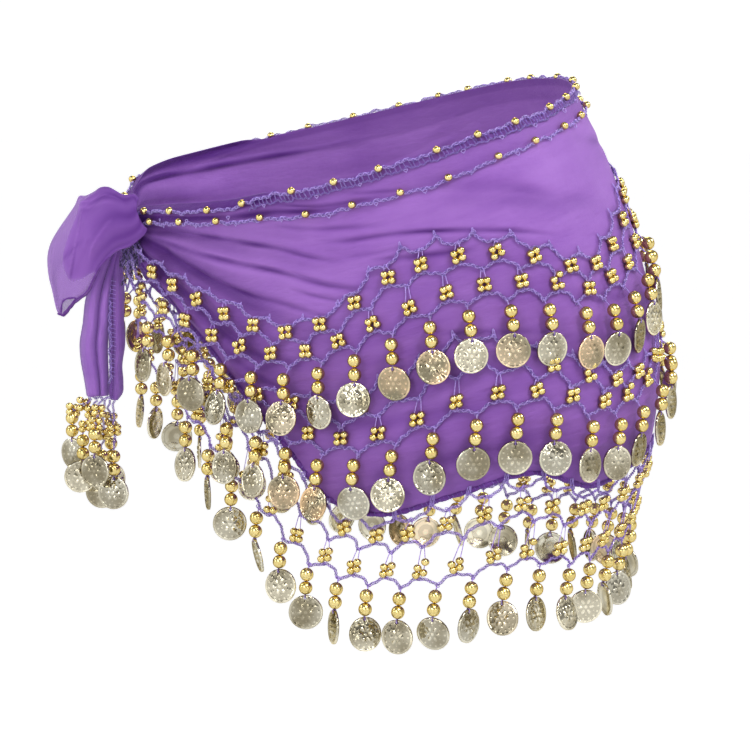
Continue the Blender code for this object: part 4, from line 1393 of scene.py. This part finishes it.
def tail_tassel(crochet, gold, brass):
    """Six threads of beads and coins, from a short chain along the tail's end."""
    drops, small = Drops(), Pile()
    reach = np.linspace(TASSEL_FIRST - 0.001, TASSEL_LAST + 0.001, 40)
    strip = at_knot(reach, TAIL_FRONT, TASSEL_TOP - CHAIN_WIDTH / 2 + 0.0006 * np.sin(reach * 1400))
    braid(drops.threads, strip, ONWARD)
    spacing = (TASSEL_LAST - TASSEL_FIRST) / len(TASSEL)
    first = TASSEL_FIRST + spacing / 2
    starts = at_knot(first + np.arange(len(TASSEL)) * spacing, TAIL_FRONT, TASSEL_TOP - CHAIN_WIDTH)
    yaw, *ends = np.transpose(TASSEL)
    ends = at_knot(*ends)
    for start, end in zip(starts, ends):
        braid(drops.threads, swayed(start, end, 0.0006, 7, 20), ONWARD, 0.8)
    middles = np.array([starts[k] + (ends[k] - starts[k]) * share for k, share in TASSEL_CLUSTERS])
    for side, rise in ((-1, -1), (-1, 1), (1, -1), (1, 1)):
        nudge = RANDOM.normal(0, 0.0004, (len(middles), 1))
        place = middles + AWAY * side * CLUSTER_HALF + (CLUSTER_HALF * rise + nudge) * UP
        beads(small, place + ONWARD * 0.0006 * side, CLUSTER_BEAD)
    centres = np.stack([ends - UP * depth for depth in BEAD_BELOW], 1)
    drops.hang(ends, centres, ends - UP * (COIN_TOP + COIN_HOLE_IN), ONWARD, -AWAY, np.radians(yaw))
    drops.pieces("tail_tassel", "net_1_front", crochet, gold, brass, small)


# Net gathered under the knot: each chain of row 1 runs on up into the tie from its last node on either side.
GATHERS = table(
    "chain | aside front height sag",
    ("A", 1, 12, -56, 1),
    ("B", 3, 8.5, -57.5, 2.5),
    ("C", 5, 5, -58.5, 4),
)
# Chains bunched under the tie, each from its top down to its end, in the knot's frame.
BUNCH_TOP = -0.0540
BUNCHED = table(
    "| top_aside top_front end_aside end_front end_height bow",
    (9, 6, 8.5, 4, -70, 1),
    (7.5, 10, 6.5, 8, -76, -0.8),
    (6, 4, 7.5, 1, -81, 1.2),
    (4.5, 12, 3.5, 11, -70, 0.6),
    (3, 7, 4, 6, -78, -1),
    (1.5, 13, -0.5, 15, -68, 0.8),
    (0, 9, 1, 8, -72, -0.6),
    (-1.5, 14, -4, 19, -66, 0.5),
    (7, -4, 6, -6, -74, 1),
    (3, -6, 2, -9, -70, -1),
    (-0.5, -8, -2, -12, -68, 0.8),
)


def gathered_net(row, crochet):
    threads = Pile()
    for gather in GATHERS:
        runs, depths, _ = row.nodes[gather.chain]
        for end, sign in ((0, 1), (-1, -1)):
            there = on_scarf(runs[end], depths[end], row.proud(runs[end]))
            here = at_knot(gather.aside, gather.front * sign, gather.height)
            braid(threads, swayed(here, there, gather.sag, np.pi), ONWARD * sign + AWAY * 0.5)
    for chain in BUNCHED:
        start = at_knot(chain.top_aside, chain.top_front, BUNCH_TOP)
        end = at_knot(chain.end_aside, chain.end_front, chain.end_height)
        # Their tints paint these chains in deep shade under the tie.
        braid(threads, swayed(start, end, chain.bow, 2.6 * np.pi), ONWARD, 1.25, (-0.8, -0.7, 0.25))
    threads.piece("net_gather_crochet", crochet, "net_1_front")


# ---- edging and belt chain

CHAIN_STEP = 0.0005
STITCH_SPACING = 0.0031
EDGE_BEAD_SPACING = 0.033
STITCH_STRAY = 0.0008
STITCH_LEAN = 0.0014  # how far along a stitch reaches from its upper end to its lower one, and how unevenly
STITCH_UNEVEN = 0.0005
STITCH_BOW = 0.0005
THIN_CHAIN_PROUD = 0.0012
UPPER_CHAIN_PROUD = THIN_CHAIN_PROUD - 0.0004
LOWER_CHAIN_PROUD = THIN_CHAIN_PROUD - 0.0006
EDGE_WAVER = 0.0003
LOOP_HALF = 0.0010  # the sizes of a loose loop: half across, how much it crosses itself, and how long
LOOP_CROSS = 0.0006
LOOP_LONG = 0.0018
LOOP_LIFT = 0.0002
LOOP_BOW = 0.0004
BELT_SAG = 0.0008
# Single beads along a line of the scarf, and loose loops of thread where its chain is tacked to the cloth.
SINGLES = table(
    "line loop_share | first jitter above proud loop_below",
    ("edge", 0.50, 12, 4, 2.1, 1.8, 2.6),
    ("belt", 0.45, 20, 3, 0.8, 2.2, 1.2),
)


def full_round(step):
    return np.arange(run_at(PANEL_END) + 0.001, run_at(360 - PANEL_END) - 0.001, step)


def single_beads(threads, single):
    """Adds the loops to the threads, and gives back a pile of the beads."""
    at = full_round(EDGE_BEAD_SPACING)
    at = at + single.first + RANDOM.uniform(-single.jitter, single.jitter, len(at))
    end = run_at(360 - PANEL_END) - 0.004
    at = at[at < end]
    small = Pile()
    beads(small, on_scarf(at, line(single.line, angle_at(at)) - single.above, single.proud), EDGE_BEAD)
    at = at + EDGE_BEAD_SPACING * single.loop_share
    at = at[at < end][:, None]
    turn = np.linspace(0, 2 * np.pi, 12)[None]
    size = RANDOM.uniform(0.8, 1.3, at.shape)
    runs = at + LOOP_HALF * size * np.sin(turn) + LOOP_CROSS * np.sin(2 * turn)
    depths = line(single.line, angle_at(at)) + single.loop_below + LOOP_LONG * size * (1 - np.cos(turn)) / 2
    proud = THIN_CHAIN_PROUD + LOOP_LIFT + LOOP_BOW * np.sin(turn)
    scarf_threads(threads, runs, depths, proud, THREAD_RADIUS, 3, 0.9)
    return small


def edging(crochet, gold):
    """Crochet along the top edge: two chains, stitches between them, loops and single beads."""
    threads = Pile()
    run = full_round(CHAIN_STEP)
    middle = line("edge", angle_at(run)) + EDGE_WAVER * np.sin(run * 420) + EDGE_WAVER * np.sin(run * 130)
    braid(threads, on_scarf(run, middle - EDGING_ABOVE, UPPER_CHAIN_PROUD), outs_at(run))
    lower = on_scarf(run, middle + EDGING_BELOW, LOWER_CHAIN_PROUD)
    unrolled = from_knot(angle_at(run)) > ROLL_NEAR
    braid(threads, lower[unrolled], outs_at(run[unrolled]), 0.55, (-0.2, 0.0, 0.2))
    starts = full_round(STITCH_SPACING)
    starts = starts[from_knot(angle_at(starts)) > ROLL_NEAR][:, None]
    starts = starts + RANDOM.uniform(-STITCH_STRAY, STITCH_STRAY, starts.shape)
    share = np.linspace(0, 1, 6)[None]
    runs = starts + (STITCH_LEAN + RANDOM.uniform(-STITCH_UNEVEN, STITCH_UNEVEN, starts.shape)) * share
    depths = line("edge", angle_at(runs)) - EDGING_ABOVE + (EDGING_ABOVE + EDGING_BELOW) * share
    proud = LOWER_CHAIN_PROUD + STITCH_BOW * hump(share)
    scarf_threads(threads, runs, depths, proud, STRAND_RADIUS * 0.9, 3, -0.1)
    small = single_beads(threads, SINGLES[0])
    threads.piece("edging_crochet", crochet, "edge_chain", "edge_chain")
    small.piece("edging_beads", gold, "tail_tassel")


def belt(crochet, gold):
    """The braided chain tacked on below the edging, with single beads along it."""
    threads = Pile()
    run = full_round(CHAIN_STEP)
    depth = line("belt", angle_at(run)) + BELT_SAG * np.abs(np.sin(np.pi * run / EDGE_BEAD_SPACING))
    braid(threads, on_scarf(run, depth, THIN_CHAIN_PROUD), outs_at(run), 1.05)
    small = single_beads(threads, SINGLES[1])
    threads.piece("belt_crochet", crochet, "belt_chain", "belt_chain")
    small.piece("belt_beads", gold, "tail_tassel")


# ---- stage, light and camera

LOOK_AT = Vector((0.006, 0.005, -0.135))
CAMERA_AZIMUTH = 40.0
CAMERA_ELEVATION = 5.0
CAMERA_DISTANCE = 2.2
FRAME_WIDTH = 0.450  # what the picture spans at that distance
SENSOR = 36.0
FLOOR_HEIGHT = -0.95
FLOOR_SIZE = 60.0
STUDIO_UNDER = (0.30, 0.30, 0.31, 1.0)
STUDIO_OVER = (0.16, 0.16, 0.17, 1.0)
STUDIO_BANDS = ((0.44, 1.0), (0.55, 1.0), (0.62, 0.36))  # share of the way up, and how bright a grey
STUDIO_STRENGTH = 1.05
LAMPS = table(
    "name azimuth elevation distance size power |",
    ("key", 66.0, 48.0, 1.7, 0.5, 13.5),
    ("front", 12.0, 26.0, 2.2, 0.55, 9.0),
    ("low_right", 74.0, 12.0, 2.4, 0.6, 4.5),
    ("low_middle", 24.0, 10.0, 2.4, 0.6, 4.0),
    ("low_left", -34.0, 14.0, 2.4, 0.6, 4.5),
    ("left", -60.0, 35.0, 2.0, 0.6, 7.0),
    ("back_left", -140.0, 42.0, 2.0, 0.7, 15.0),
    ("back_right", 140.0, 38.0, 2.0, 0.7, 15.0),
)


def aim(name, data, azimuth, elevation, distance):
    """A camera or lamp that looks at the scarf, with azimuth counted from -Y towards +X."""
    turn, rise = math.radians(azimuth), math.radians(elevation)
    outward = (math.sin(turn) * math.cos(rise), -math.cos(turn) * math.cos(rise), math.sin(rise))
    place = LOOK_AT + Vector(outward) * distance
    made = bpy.data.objects.new(name, data)
    made.location = place
    made.rotation_euler = (LOOK_AT - place).to_track_quat("-Z", "Y").to_euler()
    bpy.context.scene.collection.objects.link(made)
    return made


def camera():
    data = bpy.data.cameras.new("camera")
    data.sensor_width = SENSOR
    data.lens = SENSOR * CAMERA_DISTANCE / FRAME_WIDTH
    bpy.context.scene.camera = aim("camera", data, CAMERA_AZIMUTH, CAMERA_ELEVATION, CAMERA_DISTANCE)


def lights():
    for lamp in LAMPS:
        data = bpy.data.lights.new(lamp.name, "AREA")
        data.shape = "DISK"
        data.size = lamp.size
        data.energy = lamp.power
        aim(lamp.name, data, lamp.azimuth, lamp.elevation, lamp.distance)


def world():
    """A plain pale studio, dimmer overhead and underfoot than at the horizon."""
    made = bpy.data.worlds.new("studio")
    bpy.context.scene.world = made
    made.use_nodes = True
    nodes = Nodes(made.node_tree)
    rise = nodes.add("SeparateXYZ", "Z", {0: nodes.add("TexCoord", "Generated", {})})
    sky = nodes.add("ValToRGB", "Color", {"Fac": nodes.remap(rise, -1.0, 1.0)})
    stops = sky.node.color_ramp.elements
    stops[0].color = STUDIO_UNDER
    stops[1].color = STUDIO_OVER
    for position, value in STUDIO_BANDS:
        stops.new(position).color = (value, value, value, 1.0)
    back = made.node_tree.nodes["Background"]
    nodes.feed(back.inputs["Color"], sky)
    nodes.feed(back.inputs["Strength"], STUDIO_STRENGTH)


def floor(paper):
    bpy.ops.mesh.primitive_plane_add(size=FLOOR_SIZE, location=(0.0, 0.0, FLOOR_HEIGHT))
    made = bpy.context.object
    made.name = "floor"
    made.data.materials.append(paper)


# ---- the scene

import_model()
camera()
lights()
world()
bpy.context.scene.view_settings.view_transform = "Standard"

cloth = {"Roughness": 0.62, "Sheen_Weight": 0.15}
chiffon = finish("chiffon", paint_chiffon, Specular_IOR_Level=0.2, Sheen_Tint=(0.75, 0.45, 1.0), **cloth)
sheer = finish("sheer_chiffon", paint_sheer, Specular_IOR_Level=0.3, Emission_Strength=1.0, **cloth)
crochet = finish("crochet_thread", paint_crochet, Roughness=0.75, Sheen_Weight=0.3)
gold = finish("gold_bead", paint_bead, Metallic=1.0, Specular_Tint=(0.48, 0.32, 0.12))
brass = finish("stamped_coin", paint_coin, Metallic=1.0, Specular_Tint=(0.8, 0.7, 0.45))
paper = finish("pale_floor", paint_paper, Roughness=0.9, Emission_Strength=1.0)

floor(paper)
panel = hip_panel(chiffon)
hem = hem_roll(chiffon, crochet)
knot(chiffon)
flap = tie_flap(sheer)
flap_edges(chiffon)
wide_lobe = tail_lobe("tail_wide_lobe", sheer, WIDE_LOBE, WIDE_FOLDS, "tie_tail")
narrow_lobe = tail_lobe("tail_narrow_lobe", sheer, NARROW_LOBE, NARROW_FOLDS)
tail_edging(crochet)
for spec in NET_ROWS:
    row = Row(spec)
    net(row, "front", crochet, gold)
    net(row, "back", crochet, gold)
    fringe(row, crochet, gold, brass)
    if spec.number == 1:
        gathered_net(row, crochet)
tail_tassel(crochet, gold, brass)
edging(crochet, gold)
belt(crochet, gold)
